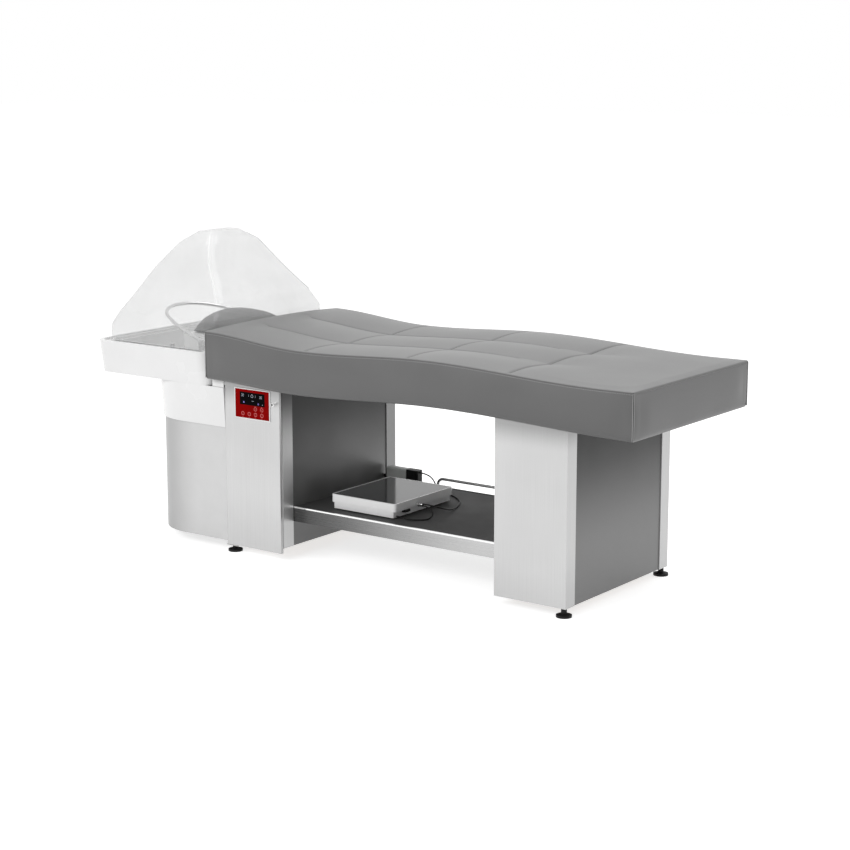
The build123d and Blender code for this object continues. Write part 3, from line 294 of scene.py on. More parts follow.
def polished_metal(name, colour, roughness):
    """Plated and polished metal, with faint wiping marks in its gloss."""
    material, tree, shader = start_material(name, Metallic=1.0, Base_Color=linear(colour))
    wipes = add(tree, "ShaderNodeTexNoise",
                inputs={"Vector": object_space(tree, (1, 1, 4)), "Scale": 1 / (14 * MM), "Detail": 3.0})
    gloss = add(tree, "ShaderNodeValToRGB", inputs={"Fac": wipes},
                stops=((LOW, grey(roughness)), (HIGH, grey(roughness + 0.08))))
    wire(tree, shader, Roughness=gloss)
    return material


def plywood(name, light, dark):
    """Birch plywood: long grain on the faces and layers of 1.4 mm on the edges."""
    material, tree, shader = start_material(name, IOR=1.5)
    space = object_space(tree, (1 / (160 * MM), 1 / (6 * MM), 1 / (1.4 * MM)))
    grain = add(tree, "ShaderNodeTexNoise",
                inputs={"Vector": space, "Scale": 1.0, "Detail": 5.0, "Distortion": 0.6})
    relief = add(tree, "ShaderNodeBump", inputs={"Height": grain, "Strength": 0.1, "Distance": 0.3 * MM})
    tone = add(tree, "ShaderNodeValToRGB", inputs={"Fac": grain}, stops=((LOW, linear(dark)), (HIGH, linear(light))))
    gloss = add(tree, "ShaderNodeValToRGB", inputs={"Fac": grain}, stops=((LOW, grey(0.55)), (HIGH, grey(0.7))))
    wire(tree, shader, Base_Color=tone, Normal=relief, Roughness=gloss)
    return material


def ribbed_mat(name, light, dark):
    """Rubber mat, moulded with a fine linen-like texture."""
    material, tree, shader = start_material(name, IOR=1.5)
    space = object_space(tree)
    # The pattern repeats every 1.6 mm in fact and is drawn every 5 mm, so that it shows. A wave texture has
    # a wave in each tenth of pi of its scaled length, and the length here is 15.75 mm
    weave = [add(tree, "ShaderNodeTexWave", {"bands_direction": way},
                 {"Vector": space, "Scale": 1 / (15.75 * MM), "Distortion": 0.4}) for way in ("X", "Y")]
    both = add(tree, "ShaderNodeMath", {"operation": "MULTIPLY"},
               {0: weave[0].outputs["Fac"], 1: weave[1].outputs["Fac"]})
    dust = add(tree, "ShaderNodeTexNoise", inputs={"Vector": space, "Scale": 1 / (90 * MM), "Detail": 5.0})
    relief = add(tree, "ShaderNodeBump", inputs={"Height": both, "Strength": 0.2, "Distance": 0.4 * MM})
    tone = add(tree, "ShaderNodeValToRGB", inputs={"Fac": dust}, stops=((LOW, linear(dark)), (HIGH, linear(light))))
    gloss = add(tree, "ShaderNodeValToRGB", inputs={"Fac": dust}, stops=((LOW, grey(0.62)), (HIGH, grey(0.75))))
    wire(tree, shader, Base_Color=tone, Normal=relief, Roughness=gloss)
    return material


def empty_material(name):
    """A material with no nodes yet."""
    material = bpy.data.materials.new(name)
    material.use_nodes = True
    material.node_tree.nodes.clear()
    return material, material.node_tree


def clear_sheet(name):
    """Clear polycarbonate sheet, a little milky from washing: see-through, with a soft white film and gloss."""
    material, tree = empty_material(name)
    haze = add(tree, "ShaderNodeTexNoise",
               inputs={"Vector": object_space(tree), "Scale": 1 / (180 * MM), "Detail": 4.0})
    veil = add(tree, "ShaderNodeBsdfDiffuse", inputs={"Color": linear("#d8d9d9")})
    back = add(tree, "ShaderNodeBsdfTransparent", inputs={"Color": grey(0.975)})
    amount = add(tree, "ShaderNodeValToRGB", inputs={"Fac": haze}, stops=((LOW, grey(0.095)), (HIGH, grey(0.125))))
    film = add(tree, "ShaderNodeMixShader", inputs={"Fac": amount, 1: back, 2: veil})
    gloss = add(tree, "ShaderNodeBsdfGlossy", inputs={"Roughness": 0.06, "Color": grey(0.9)})
    # Gloss grows towards a grazing view, alike from both sides of the sheet
    facing = add(tree, "ShaderNodeLayerWeight", inputs={"Blend": 0.5})
    curve = add(tree, "ShaderNodeMath", {"operation": "POWER"}, {0: facing.outputs["Facing"], 1: 5.0})
    edge = add(tree, "ShaderNodeMath", {"operation": "MULTIPLY_ADD"}, {0: curve, 1: 0.5, 2: 0.02})
    whole = add(tree, "ShaderNodeMixShader", inputs={"Fac": edge, 1: film, 2: gloss})
    add(tree, "ShaderNodeOutputMaterial", inputs={"Surface": whole})
    return material


def smoked_glass(name, colour, roughness, specular):
    """Toughened glass over a dark print: a smooth deep gloss with a faint smear."""
    material, tree, shader = start_material(name, IOR=1.52, Base_Color=linear(colour), Specular_IOR_Level=specular)
    smear = add(tree, "ShaderNodeTexNoise",
                inputs={"Vector": object_space(tree), "Scale": 1 / (45 * MM), "Detail": 4.0})
    gloss = add(tree, "ShaderNodeValToRGB", inputs={"Fac": smear},
                stops=((LOW, grey(roughness)), (HIGH, grey(roughness + 0.06))))
    wire(tree, shader, Roughness=gloss)
    return material


def glowing(name, colour, strength):
    """Lit segments behind the display's glass."""
    plain = linear(colour)
    material, tree, shader = start_material(name, Base_Color=plain, Roughness=0.4, Emission_Color=plain,
                                            Emission_Strength=strength)
    speck = add(tree, "ShaderNodeTexNoise", inputs={"Vector": object_space(tree), "Scale": 1 / (2 * MM)})
    bright = [min(1.25 * v, 1.0) for v in plain]
    tone = add(tree, "ShaderNodeValToRGB", inputs={"Fac": speck}, stops=((LOW, plain), (HIGH, bright)))
    wire(tree, shader, Base_Color=tone)
    return material


# Covers: satin grey vinyl, pale stitches, corner welts drawn lighter as a painted highlight, and dark lines down in
# the seams as painted shadow
LEATHER = leatherette("grey_pvc_leatherette", "#676767", "#606060")
STITCH = moulded("polyester_thread", "#a2a2a2", "#969696", 0.6, 0.4, 0.3)
# Corner welts: the cover's vinyl drawn lighter, as a painted highlight on the rounded welts
WELT_HIGHLIGHT = moulded("welt_vinyl_painted_highlight", "#a8a8a8", "#9c9c9c", 0.42, 0.8, 0.2)
# Painted shadow: dark lines laid in the seams where the panels meet
SEAM_SHADOW = moulded("painted_seam_shadow", "#4c4c4c", "#444444", 0.7, 0.8, 0.2, specular=0.2)

# Boards and rails: brushed stainless steel, with soft streaks, and painted shade that darkens them under the couch
# and towards the head end of the shelf.
# A painted shade has its axis, the two places in metres between which it runs, and the tone at each
SHEET = with_painted_shade(brushed_metal("brushed_stainless_sheet", "#c4c4c4", "#bababa", 0.34, 0.46, AXIS_Z),
               AXIS_Z, 0.49, 0.575, 1.0, 0.6)
# Painted shade: the head frame's strip grows much darker towards its top, under the couch
FRAME_SHEET = with_painted_shade(brushed_metal("brushed_door_frame", "#d6d6d6", "#cccccc", 0.34, 0.46, AXIS_Z),
                     AXIS_Z, 0.32, 0.565, 1.0, 0.1)
# Painted shade: the rear board's inner face is drawn darker than its outer face
INNER_SHEET = with_painted_shade(brushed_metal("brushed_rear_board", "#c4c4c4", "#bababa", 0.34, 0.46, AXIS_Z),
                     AXIS_Y, 0.296, 0.3, 0.48, 1.0)
RAIL = brushed_metal("brushed_stainless_rail", "#c4c4c4", "#b4b4b4", 0.22, 0.34, AXIS_X)
# Painted reflection and shade: the front rail darkens towards the head end, where the dark pedestal would show in it
FRONT_RAIL = with_painted_shade(brushed_metal("brushed_shelf_rail", "#c4c4c4", "#b4b4b4", 0.22, 0.34, AXIS_X),
                    AXIS_X, -0.25, 0.57, 0.14, 0.9)

# Lacquered panels and column: sprayed metallic paint, with painted shade at the panels' tops and the column's curved
# head end, and a painted reflection of the pale floor at the panels' foot
DARK_PANEL = with_painted_shade(moulded("lacquered_dark_panel", "#646464", "#606060", 0.34, 1.4, 0.03, metallic=0.5),
                    AXIS_Z, 0.16, 0.56, 1.7, 0.12)
COLUMN = with_painted_shade(moulded("silver_lacquered_column", "#cccccc", "#c6c6c6", 0.34, 1.0, 0.03, coat=0.1, metallic=0.35),
                AXIS_X, -0.80, -0.62, 0.6, 1.02)

# Mouldings: high-gloss white tray and housing, glassy gelcoat bowl, and duller plastics and rubber
WHITE_ABS = moulded("gloss_white_abs", "#f3f3f3", "#efefef", 0.22, 1.2, 0.03, coat=0.2)
WHITE_ENAMEL = moulded("white_gelcoat_bowl", "#f4f4f2", "#f0f0ee", 0.14, 2.0, 0.02, coat=0.4)
DARK_ABS = moulded("black_moulded_abs", "#1b1b1b", "#151515", 0.42, 0.7, 0.12, specular=0.25)
BLACK_RUBBER = moulded("black_pvc_lead", "#161616", "#101010", 0.5, 0.6, 0.1, specular=0.3)
GREY_ABS = moulded("light_grey_abs", "#c8cac8", "#bcbebc", 0.4, 0.8, 0.08)
DRAIN = moulded("grey_polypropylene", "#d8d8d6", "#cecece", 0.45, 0.9, 0.06)

# Operating panel: a matt red print in a white border, with pink key marks and a black display
RED = moulded("red_printed_polycarbonate", "#920000", "#860000", 0.45, 0.8, 0.05, specular=0.03)
WHITE_TRIM = moulded("white_panel_border", "#f2f2f2", "#ececec", 0.3, 0.8, 0.03)
KEY_PRINT = moulded("pink_touch_key_print", "#dc7c7c", "#d06c6c", 0.4, 0.8, 0.03, specular=0.2)
BLACK_GLASS = smoked_glass("display_glass", "#040405", 0.3, 0.02)
LIT = glowing("lit_display_segments", "#8e929c", 0.12)
VIOLET = glowing("violet_display_segments", "#7468b4", 0.15)

# Metal parts: rough painted casting, spangled zinc, mirror-like chrome and warm turned brass
IRON = moulded("painted_pump_casting", "#373c40", "#2c3134", 0.5, 1.6, 0.25)
ZINC = moulded("zinc_plated_steel", "#aaaaa8", "#989896", 0.4, 3.0, 0.08, metallic=0.85)
CHROME = polished_metal("chrome_plating", "#dedede", 0.08)
BRASS = polished_metal("turned_brass", "#b8975a", 0.22)

# Boards inside, the shelf's mat, the hotplate's glass, and the hood with painted highlights on its bends
PLY = plywood("birch_plywood", "#b89468", "#94724a")
GREY_PLY = plywood("grey_painted_plywood", "#8f8f8c", "#7c7c7a")
MAT = ribbed_mat("rubber_shelf_mat", "#474747", "#3c3c3c")
DARK_GLASS = smoked_glass("dark_hotplate_glass", "#333536", 0.08, 0.5)
CLEAR = clear_sheet("clear_polycarbonate")
FOLD_HIGHLIGHT = moulded("painted_fold_highlight", "#ffffff", "#fafafa", 0.2, 1.0, 0.02, coat=0.5)

NODE_FINISH = {
    "deck_board": GREY_PLY, "foot_front_board": SHEET, "foot_rear_board": SHEET,
    "head_front_frame": FRAME_SHEET, "head_rear_board": INNER_SHEET, "service_door": SHEET,
    "foot_outer_panel": DARK_PANEL, "foot_inner_panel": DARK_PANEL, "head_inner_panel": DARK_PANEL,
    "head_outer_panel": DARK_PANEL, "foot_cross_plates": PLY, "head_cross_plates": PLY,
    "deck_saddles": GREY_PLY, "shelf_board": GREY_PLY, "shelf_mat": MAT, "shelf_rails": FRONT_RAIL,
    "shelf_trims": CHROME, "shelf_guard_rail": RAIL, "foot_blocks": ZINC, "door_pivots": ZINC,
    "tray_bracket": ZINC, "panel_frame": WHITE_TRIM, "panel_plate": RED, "display_glass": BLACK_GLASS,
    "controller_housing": DARK_ABS, "door_lock": CHROME, "warmer_case": WHITE_ABS, "warmer_glass": DARK_GLASS,
    "warmer_feet": BLACK_RUBBER, "warmer_socket": CHROME, "warmer_switch": DARK_ABS, "power_strip": GREY_ABS,
    "power_adapter": DARK_ABS, "lead_gland": DARK_ABS, "basin_tray": WHITE_ABS, "bowl_housing": WHITE_ABS,
    "column_skirt": COLUMN, "wash_bowl": WHITE_ENAMEL, "drain_strainer": CHROME, "drain_trap": DRAIN,
    "pillow_bridge": WHITE_ABS, "water_ring": CHROME, "tray_fittings": CHROME, "valve_knob": CHROME,
    "hood_shell": CLEAR, "hood_hoop": WHITE_ABS, "heater_tank": RAIL, "circulation_pump": IRON,
    "pump_hose": BLACK_RUBBER, "water_inlet": BRASS, "mains_inlet": DARK_ABS, "adapter_lead": BLACK_RUBBER,
    "loop_lead": BLACK_RUBBER, "mattress": LEATHER, "head_pillow": LEATHER,
}
for node_name, node_object in frame["nodes"].items():
    finish = NODE_FINISH.get(node_name, DARK_ABS if node_name.startswith("levelling") else GREY_ABS)
    node_object.data.materials.clear()
    node_object.data.materials.append(finish)


# Camera at the photograph's angle, floor and soft light

CAMERA_PLACE = (3.8451, -5.1022, 1.7079)
CAMERA_DOWN, CAMERA_TURN = 11.2769, 36.3113
FOCAL_LENGTH = 84.86
STUDIO_SIZE = 60


def camera():
    lens = bpy.data.cameras.new("view")
    lens.lens = FOCAL_LENGTH
    lens.sensor_width = 36
    lens.sensor_fit = "HORIZONTAL"
    lens.clip_end = STUDIO_SIZE
    made = placed("view", lens)
    made.location = CAMERA_PLACE
    made.rotation_euler = (math.radians(90 - CAMERA_DOWN), 0, math.radians(CAMERA_TURN))
    bpy.context.scene.camera = made


def seen_by(tree, *rays):
    """1 for rays of these kinds and 0 for the rest, so that only they meet the plain pale ground."""
    light = add(tree, "ShaderNodeLightPath")
    seen = light.outputs[rays[0]]
    for ray in rays[1:]:
        seen = add(tree, "ShaderNodeMath", {"operation": "MAXIMUM"}, {0: seen, 1: light.outputs[ray]})
    return seen


def floor():
    """Matt pale floor, lifted to near white where the camera or a gloss sees it, with the bed's shadow kept."""
    deselect()
    bpy.ops.mesh.primitive_plane_add(size=STUDIO_SIZE, location=(0, 0, 0))
    plane = named("studio_floor")
    settle(plane)
    material, tree = empty_material("pale_studio_floor")
    matte = add(tree, "ShaderNodeBsdfDiffuse", inputs={"Color": grey(0.80)})
    glow = add(tree, "ShaderNodeEmission", inputs={"Color": grey(1.0), "Strength": 0.72})
    both = add(tree, "ShaderNodeAddShader", inputs={0: matte, 1: glow})
    mix = add(tree, "ShaderNodeMixShader", inputs={"Fac": seen_by(tree, "Is Camera Ray", "Is Glossy Ray"),
                                                   1: matte, 2: both})
    add(tree, "ShaderNodeOutputMaterial", inputs={"Surface": mix})
    plane.data.materials.append(material)


def world():
    """White behind the bed, and a softer light all round it."""
    sky = bpy.data.worlds.new("studio")
    bpy.context.scene.world = sky
    sky.use_nodes = True
    tree = sky.node_tree
    tree.nodes.clear()
    plain = add(tree, "ShaderNodeBackground", inputs={"Color": grey(1.0), "Strength": 1.0})
    ambient = add(tree, "ShaderNodeBackground", inputs={"Color": grey(1.0), "Strength": 0.55})
    seen = seen_by(tree, "Is Camera Ray", "Is Glossy Ray", "Is Transmission Ray")
    mix = add(tree, "ShaderNodeMixShader", inputs={"Fac": seen, 1: ambient, 2: plain})
    add(tree, "ShaderNodeOutputWorld", inputs={"Surface": mix})


def lamp(name, place, target, size, watts):
    light = bpy.data.lights.new(name, "AREA")
    light.shape = "RECTANGLE"
    light.size, light.size_y = size
    light.energy = watts
    made = placed(name, light)
    made.location = place
    made.rotation_euler = (Vector(target) - Vector(place)).to_track_quat("-Z", "Y").to_euler()


bpy.context.scene.view_settings.view_transform = "Standard"
camera()
world()
floor()
lamp("top_softbox", (0.2, 0.6, 3.4), (0.0, 0.0, 0.6), (4.0, 2.4), 48)
lamp("front_softbox", (-1.2, -4.2, 2.9), (-0.1, 0.0, 0.4), (4.0, 1.6), 81)


# Leads of the warming plate: the routes of their solids, in millimetres, and their lengths in metres

SOCKET_Y, PLUG_END = -82.32, 147.5
ADAPTER_ROUTE = ((-101.5, 240.0, 218.0), (-80.0, 240.0, 218.0), (-46.0, 236.0, 208.0), (-22.0, 228.0, 180.0),
                 (14.0, 212.0, 174.3), (62.0, 188.0, 174.3), (112.0, 160.0, 174.3), (150.0, 122.0, 174.3),
                 (174.0, 76.0, 174.3), (192.0, 28.0, 175.5), (203.0, -20.0, 184.0), (203.0, -58.0, 197.0),
                 (181.5, SOCKET_Y, 206.8), (PLUG_END, SOCKET_Y, 206.8))
LOOP_ROUTE = ((PLUG_END, SOCKET_Y, 201.2), (170.5, SOCKET_Y, 201.2), (197.0, -92.0, 186.0), (208.0, -122.0, 174.8),
              (190.0, -156.0, 174.3), (156.0, -176.0, 176.0), (134.0, -178.0, 181.0), (113.5, -178.0, 181.0))
LEAD_RADIUS = 2.2 * MM
LEADS = (("adapter_lead", ADAPTER_ROUTE, 0.5538), ("loop_lead", LOOP_ROUTE, 0.2045))


def round_curve(name, radius, resolution):
    """An empty curve object with a round, closed section."""
    curve = bpy.data.curves.new(name, "CURVE")
    curve.dimensions = "3D"
    curve.bevel_depth = radius
    curve.bevel_resolution = resolution
    curve.use_fill_caps = True
    return placed(name, curve), curve


def leads():
    for node_name, route, length in LEADS:
        cord, curve = round_curve(node_name + "_cord", LEAD_RADIUS, 4)
        curve.resolution_u = 12
        spline = curve.splines.new("NURBS")
        spline.points.add(len(route) - 1)
        for point, (x, y, z) in zip(spline.points, route):
            point.co = (x * MM, y * MM, z * MM, 1.0)
        spline.order_u = 3
        spline.use_endpoint_u = True
        finish_piece(cord, "bed", "black_rubber", BLACK_RUBBER, node_name)


leads()


# Stitched covers: the mattress is made on a graded net, and the pillow from a remeshed copy of its solid

HEAD_END, FOOT_END, HALF_WIDTH = -0.5415, 1.0685, 0.3425
CROSS_SEAMS = (-0.128, 0.272, 0.642)
LONG_SEAM = HALF_WIDTH / 3

# The line of the edges: shares of the length, and heights in metres
TOP_WAVE = ((0.0, 0.735), (0.25, 0.708), (0.56, 0.727), (0.92, 0.706), (1.0, 0.707))

# The padding over that line: the dip at the long seams, and the crowns of the panels, rows and plain ends
LONG_DIP, OUTER_CROWN, INNER_CROWN, ROW_CROWN = 3.5 * MM, 6 * MM, 7 * MM, 2 * MM
HEAD_CROWN, FOOT_CROWN = 10 * MM, 6 * MM
HEAD_PLAIN, FOOT_PLAIN = 110 * MM, 170 * MM
CROWN_POWER = 2.4

# Sewn seams: their depth and half width, and where the long ones come in at the head and fade before the last row
CROSS_DEPTH, LONG_DEPTH, SEAM_REACH, SIDE_FADE = 3.4 * MM, 2.6 * MM, 3.4 * MM, 14 * MM
LONG_STARTS, LONG_FADES = (40 * MM, 90 * MM), (170 * MM, 60 * MM)

# The deck board's seat under the cover
DECK_INSET, DECK_THICKNESS = 32 * MM, 18.5 * MM

# The net's spacing, and the rows of the side band: the first ones, in millimetres, lie round the rolled edge
NET, CLOSENESS = 12 * MM, 0.7
BAND_DROPS = (0.0, 0.9, 2.1, 3.5, 4.6, 5.5, 6.6, 8.2, 11.0, 16.0)
BAND_ROWS, HEM_CLOSENESS = 18, 0.12
BAND_SEAM = 5.5 * MM
EDGE_ROLL, SEWN_DEPTH, SEWN_REACH = 0.4 * MM, 0.7 * MM, 1.5 * MM
CORNER_RADIUS, HEM_RADIUS, EDGE_RADIUS = 5 * MM, 4 * MM, 3.5 * MM
SIDE_BULGE, HEAD_BULGE, BULGE_TAPER = 7 * MM, 1.5 * MM, 90 * MM

# What the sewing and the deck hold while the padding swells, and the most that the rest may move
SEAM_HOLD, HEAD_HOLD, ROLL_HOLD, HEM_HOLD = 3 * MM, 20 * MM, 17 * MM, 18 * MM
COUCH_SWELL, PILLOW_SWELL = 3.5 * MM, 4 * MM
SWELL_FRAMES = 14
CLOTH = {"quality": 4, "mass": 0.25, "use_pressure": True, "uniform_pressure_force": 4.0, "tension_stiffness": 25,
         "compression_stiffness": 25, "shear_stiffness": 8, "bending_stiffness": 0.6}

# The pillow, a little lower and shorter than its solid, with a rounded nose at each end
PILLOW_FOOT, PILLOW_END = 690 * MM, 166 * MM
PILLOW_HEIGHT, PILLOW_LENGTH = 0.93, 0.965
NOSE_LENGTH, NOSE_RISE = 30 * MM, 10 * MM

# Heights from which rays find the cover's underside and its top
RAY_LOW, RAY_HIGH = 0.4, 0.9


def ease(start, end, value):
    """Rises smoothly from 0 at start to 1 at end."""
    t = min(max((value - start) / (end - start), 0.0), 1.0)
    return t * t * (3 - 2 * t)


def top_wave(x):
    """Height of the mattress's edges along its length."""
    share = (x - HEAD_END) / (FOOT_END - HEAD_END)
    for (a, low), (b, high) in zip(TOP_WAVE, TOP_WAVE[1:]):
        if share <= b or b == 1.0:
            return low + (high - low) * (1 - math.cos(math.pi * (share - a) / (b - a))) / 2


def panel_rise(x, y):
    """Height of the padding over the line of the edges: a crown in each panel and a dip at each long seam."""
    side = abs(y)
    if side > LONG_SEAM:
        share = min((side - LONG_SEAM) / (HALF_WIDTH - LONG_SEAM), 1.0)
        divided = LONG_DIP * (share - 1) + OUTER_CROWN * math.sin(math.pi * share)
    else:
        divided = INNER_CROWN * math.cos(math.pi * y / (2 * LONG_SEAM)) - LONG_DIP
    whole = 1 - (side / HALF_WIDTH) ** CROWN_POWER
    from_head = ease(HEAD_END, HEAD_END + HEAD_PLAIN, x)
    to_foot = ease(CROSS_SEAMS[-1], CROSS_SEAMS[-1] + FOOT_PLAIN, x)
    at_foot = ease(FOOT_END - 1.5 * FOOT_PLAIN, FOOT_END, x)
    rows = (HEAD_END,) + CROSS_SEAMS + (FOOT_END,)
    swell = max(math.sin(math.pi * (x - a) / (b - a)) if a <= x <= b else 0.0 for a, b in zip(rows, rows[1:]))
    plain = HEAD_CROWN * (1 - from_head) + FOOT_CROWN * to_foot * (1 - at_foot) + ROW_CROWN * swell
    return divided * from_head * (1 - to_foot) + whole * plain


def groove_depth(x, y):
    """Depth of the sewn seams under the panels."""
    cross = min(abs(x - seam) for seam in CROSS_SEAMS)
    depth = CROSS_DEPTH * math.exp(-(cross / SEAM_REACH) ** 2)
    along = abs(abs(y) - LONG_SEAM)
    started = ease(HEAD_END + LONG_STARTS[0], HEAD_END + LONG_STARTS[1], x)
    faded = ease(CROSS_SEAMS[-1] - LONG_FADES[0], CROSS_SEAMS[-1] - LONG_FADES[1], x)
    depth = max(depth, LONG_DEPTH * (started * (1 - faded)) * math.exp(-(along / SEAM_REACH) ** 2))
    return depth * ease(0, SIDE_FADE, HALF_WIDTH - abs(y))


COUCH = ray_tree(frame["nodes"]["mattress"].data)


def underside(x):
    """Height of the mattress's lower edge, read from its solid just inside its front."""
    inside = min(max(x, HEAD_END + 1 * MM), FOOT_END - 1 * MM)
    return COUCH.ray_cast(Vector((inside, 5 * MM - HALF_WIDTH, RAY_LOW)), Vector((0, 0, 1)))[0].z


def graded(marks, spacing):
    """Places through all the marks, three times closer together beside each mark."""
    places = [marks[0]]
    for a, b in zip(marks, marks[1:]):
        count = max(4, round((b - a) / spacing))
        for i in range(1, count + 1):
            t = i / count
            places.append(a + (b - a) * (t - CLOSENESS * math.sin(2 * math.pi * t) / (2 * math.pi)))
    return places


def swell_as_cloth(piece, held, cap):
    """Blows the piece up as cloth, its held points fixed, and caps how far each point moves."""
    before = [v.co.copy() for v in piece.data.vertices]
    group = piece.vertex_groups.new(name="held")
    group.add(held, 1.0, "REPLACE")
    cloth = piece.modifiers.new("Cloth", "CLOTH")
    for key, value in CLOTH.items():
        setattr(cloth.settings, key, value)
    cloth.settings.vertex_group_mass = "held"
    cloth.settings.effector_weights.gravity = 0
    cloth.collision_settings.use_collision = False
    cloth.point_cache.frame_start = 1
    cloth.point_cache.frame_end = SWELL_FRAMES
    scene = bpy.context.scene
    for step in range(1, SWELL_FRAMES + 1):
        scene.frame_set(step)
    active(piece)
    bpy.ops.object.modifier_apply(modifier="Cloth")
    scene.frame_set(1)
    for vertex, old in zip(piece.data.vertices, before):
        move = vertex.co - old
        if move.length > cap:
            vertex.co = old + move * (cap / move.length)
    piece.vertex_groups.clear()


def mattress_net(name):
    """Closed box of quads whose lines run along the mattress's seams and edges; its sides have rows too."""
    marks_x = (HEAD_END, HEAD_END + DECK_INSET) + CROSS_SEAMS + (FOOT_END - DECK_INSET, FOOT_END)
    marks_y = (-HALF_WIDTH, DECK_INSET - HALF_WIDTH, -LONG_SEAM, LONG_SEAM, HALF_WIDTH - DECK_INSET, HALF_WIDTH)
    xs, ys = graded(marks_x, NET), graded(marks_y, NET)
    deselect()
    bpy.ops.mesh.primitive_grid_add(x_subdivisions=len(xs) - 1, y_subdivisions=len(ys) - 1, size=2)
    piece = named(name)
    edit_whole(piece)
    bpy.ops.mesh.extrude_region_move(TRANSFORM_OT_translate={"value": (0, 0, -1)})
    bpy.ops.object.mode_set(mode="OBJECT")
    # Only the upright edges are divided, in edge mode, or the rows would be cut across as well
    mesh = piece.data
    for edge in mesh.edges:
        a, b = (mesh.vertices[i].co for i in edge.vertices)
        edge.select = abs(a.z - b.z) > 0.5
    for vertex in mesh.vertices:
        vertex.select = False
    for face in mesh.polygons:
        face.select = False
    bpy.context.tool_settings.mesh_select_mode = (False, True, False)
    bpy.ops.object.mode_set(mode="EDIT")
    bpy.ops.mesh.subdivide(number_cuts=BAND_ROWS - 1)
    bpy.ops.mesh.select_mode(type="VERT")
    end_outwards()
    return piece, xs, ys


def corner_rounded(x, y):
    """Moves a point of the square plan onto the plan with rounded corners."""
    mid = (HEAD_END + FOOT_END) / 2
    half = (FOOT_END - HEAD_END) / 2
    a = (abs(x - mid) - (half - CORNER_RADIUS)) / CORNER_RADIUS
    b = (abs(y) - (HALF_WIDTH - CORNER_RADIUS)) / CORNER_RADIUS
    if a <= 0 or b <= 0:
        return x, y
    turned_a, turned_b = a * math.sqrt(1 - b * b / 2), b * math.sqrt(1 - a * a / 2)
    return (mid + math.copysign(half - CORNER_RADIUS + CORNER_RADIUS * turned_a, x - mid),
            math.copysign(HALF_WIDTH - CORNER_RADIUS + CORNER_RADIUS * turned_b, y))


def band_profile(drop, rise, bulge):
    """How far the side band stands out: a rolled edge, a sewn line under it, the bulge and a rounded hem."""
    roll = EDGE_ROLL * math.sin(math.pi * min(drop / BAND_SEAM, 1.0))
    sewn = -SEWN_DEPTH * math.exp(-((drop - BAND_SEAM) / SEWN_REACH) ** 2)
    hem = min(rise / HEM_RADIUS, 1.0)
    full = bulge * math.sin(math.pi * min(max((drop - BAND_SEAM) / (drop + rise - BAND_SEAM), 0.0), 1.0))
    edge = min(drop / EDGE_RADIUS, 1.0)
    rounded = EDGE_RADIUS * (1 - math.sqrt(1 - (1 - edge) ** 2)) + HEM_RADIUS * (1 - math.sqrt(1 - (1 - hem) ** 2))
    return roll + sewn + full - rounded


def held_on_top(x, y):
    """Whether a point of the top is held: along the edges, the seams and the head end."""
    edge = min(HALF_WIDTH - abs(y), FOOT_END - x, x - HEAD_END)
    if edge < 1 * MM or x < HEAD_END + HEAD_HOLD or min(abs(x - s) for s in CROSS_SEAMS) < SEAM_HOLD:
        return True
    return abs(abs(y) - LONG_SEAM) < SEAM_HOLD and groove_depth(x, y) > 1 * MM


def band_drop(row, depth):
    """How far a row of the side band lies under the edge: close rows round the roll, then wide ones to the hem."""
    close = len(BAND_DROPS)
    if row < close:
        return BAND_DROPS[row] * MM
    last = BAND_DROPS[-1] * MM
    share = (row - close + 1) / (BAND_ROWS - close + 1)
    return last + (depth - last) * (share + HEM_CLOSENESS * math.sin(math.pi * share))


def over_deck(x, y):
    """Whether a point of the underside lies on the deck board, which the cover is wrapped round."""
    seat = DECK_INSET - 1 * MM
    return HALF_WIDTH - abs(y) > seat and HEAD_END + seat < x < FOOT_END - seat


def mattress_cover():
    piece, xs, ys = mattress_net("mattress_cover")
    mesh = piece.data
    last_x, last_y = len(xs) - 1, len(ys) - 1
    low = [underside(x) for x in xs]
    held, plan = [], []
    for vertex in mesh.vertices:
        i, j = round((vertex.co.x + 1) / 2 * last_x), round((vertex.co.y + 1) / 2 * last_y)
        row = round(-vertex.co.z * BAND_ROWS)
        x, y, base = xs[i], ys[j], low[i]
        crest = top_wave(x) + panel_rise(x, y)
        out_x = -1 if i == 0 else 1 if i == last_x else 0
        out_y = -1 if j == 0 else 1 if j == last_y else 0
        plan.append((x, y) if row == 0 else None)
        if row == 0:
            z, stand = crest, -EDGE_RADIUS if (out_x or out_y) else 0.0
            hold = held_on_top(x, y)
        elif row < BAND_ROWS:
            depth = crest - base
            drop = band_drop(row, depth)
            from_corner = HALF_WIDTH - abs(y) if out_x else min(x - HEAD_END, FOOT_END - x)
            bulge = (HEAD_BULGE if out_x < 0 else SIDE_BULGE) * ease(0, BULGE_TAPER, from_corner)
            z, stand = crest - drop, band_profile(drop, depth - drop, bulge)
            hold = drop < ROLL_HOLD or depth - drop < HEM_HOLD or out_x < 0 or (out_x and out_y)
        else:
            inner = over_deck(x, y)
            z, stand = base + (DECK_THICKNESS if inner else 0.0), -HEM_RADIUS if (out_x or out_y) else 0.0
            if not (inner or out_x or out_y):
                y = y * (1 - HEM_RADIUS / HALF_WIDTH)
            hold = True
        if hold:
            held.append(vertex.index)
        x, y = corner_rounded(x, y)
        length = math.hypot(out_x, out_y) or 1.0
        vertex.co = (x + out_x * stand / length, y + out_y * stand / length, z)
    swell_as_cloth(piece, held, COUCH_SWELL)
    for vertex, place in zip(mesh.vertices, plan):
        if place:
            vertex.co.z -= groove_depth(*place)
    apply_modifier(piece, "SUBSURF", levels=1, render_levels=1)
    smooth(piece, SOFT_ANGLE)
    finish_piece(piece, "bed", "leatherette", LEATHER, "mattress")
    return piece


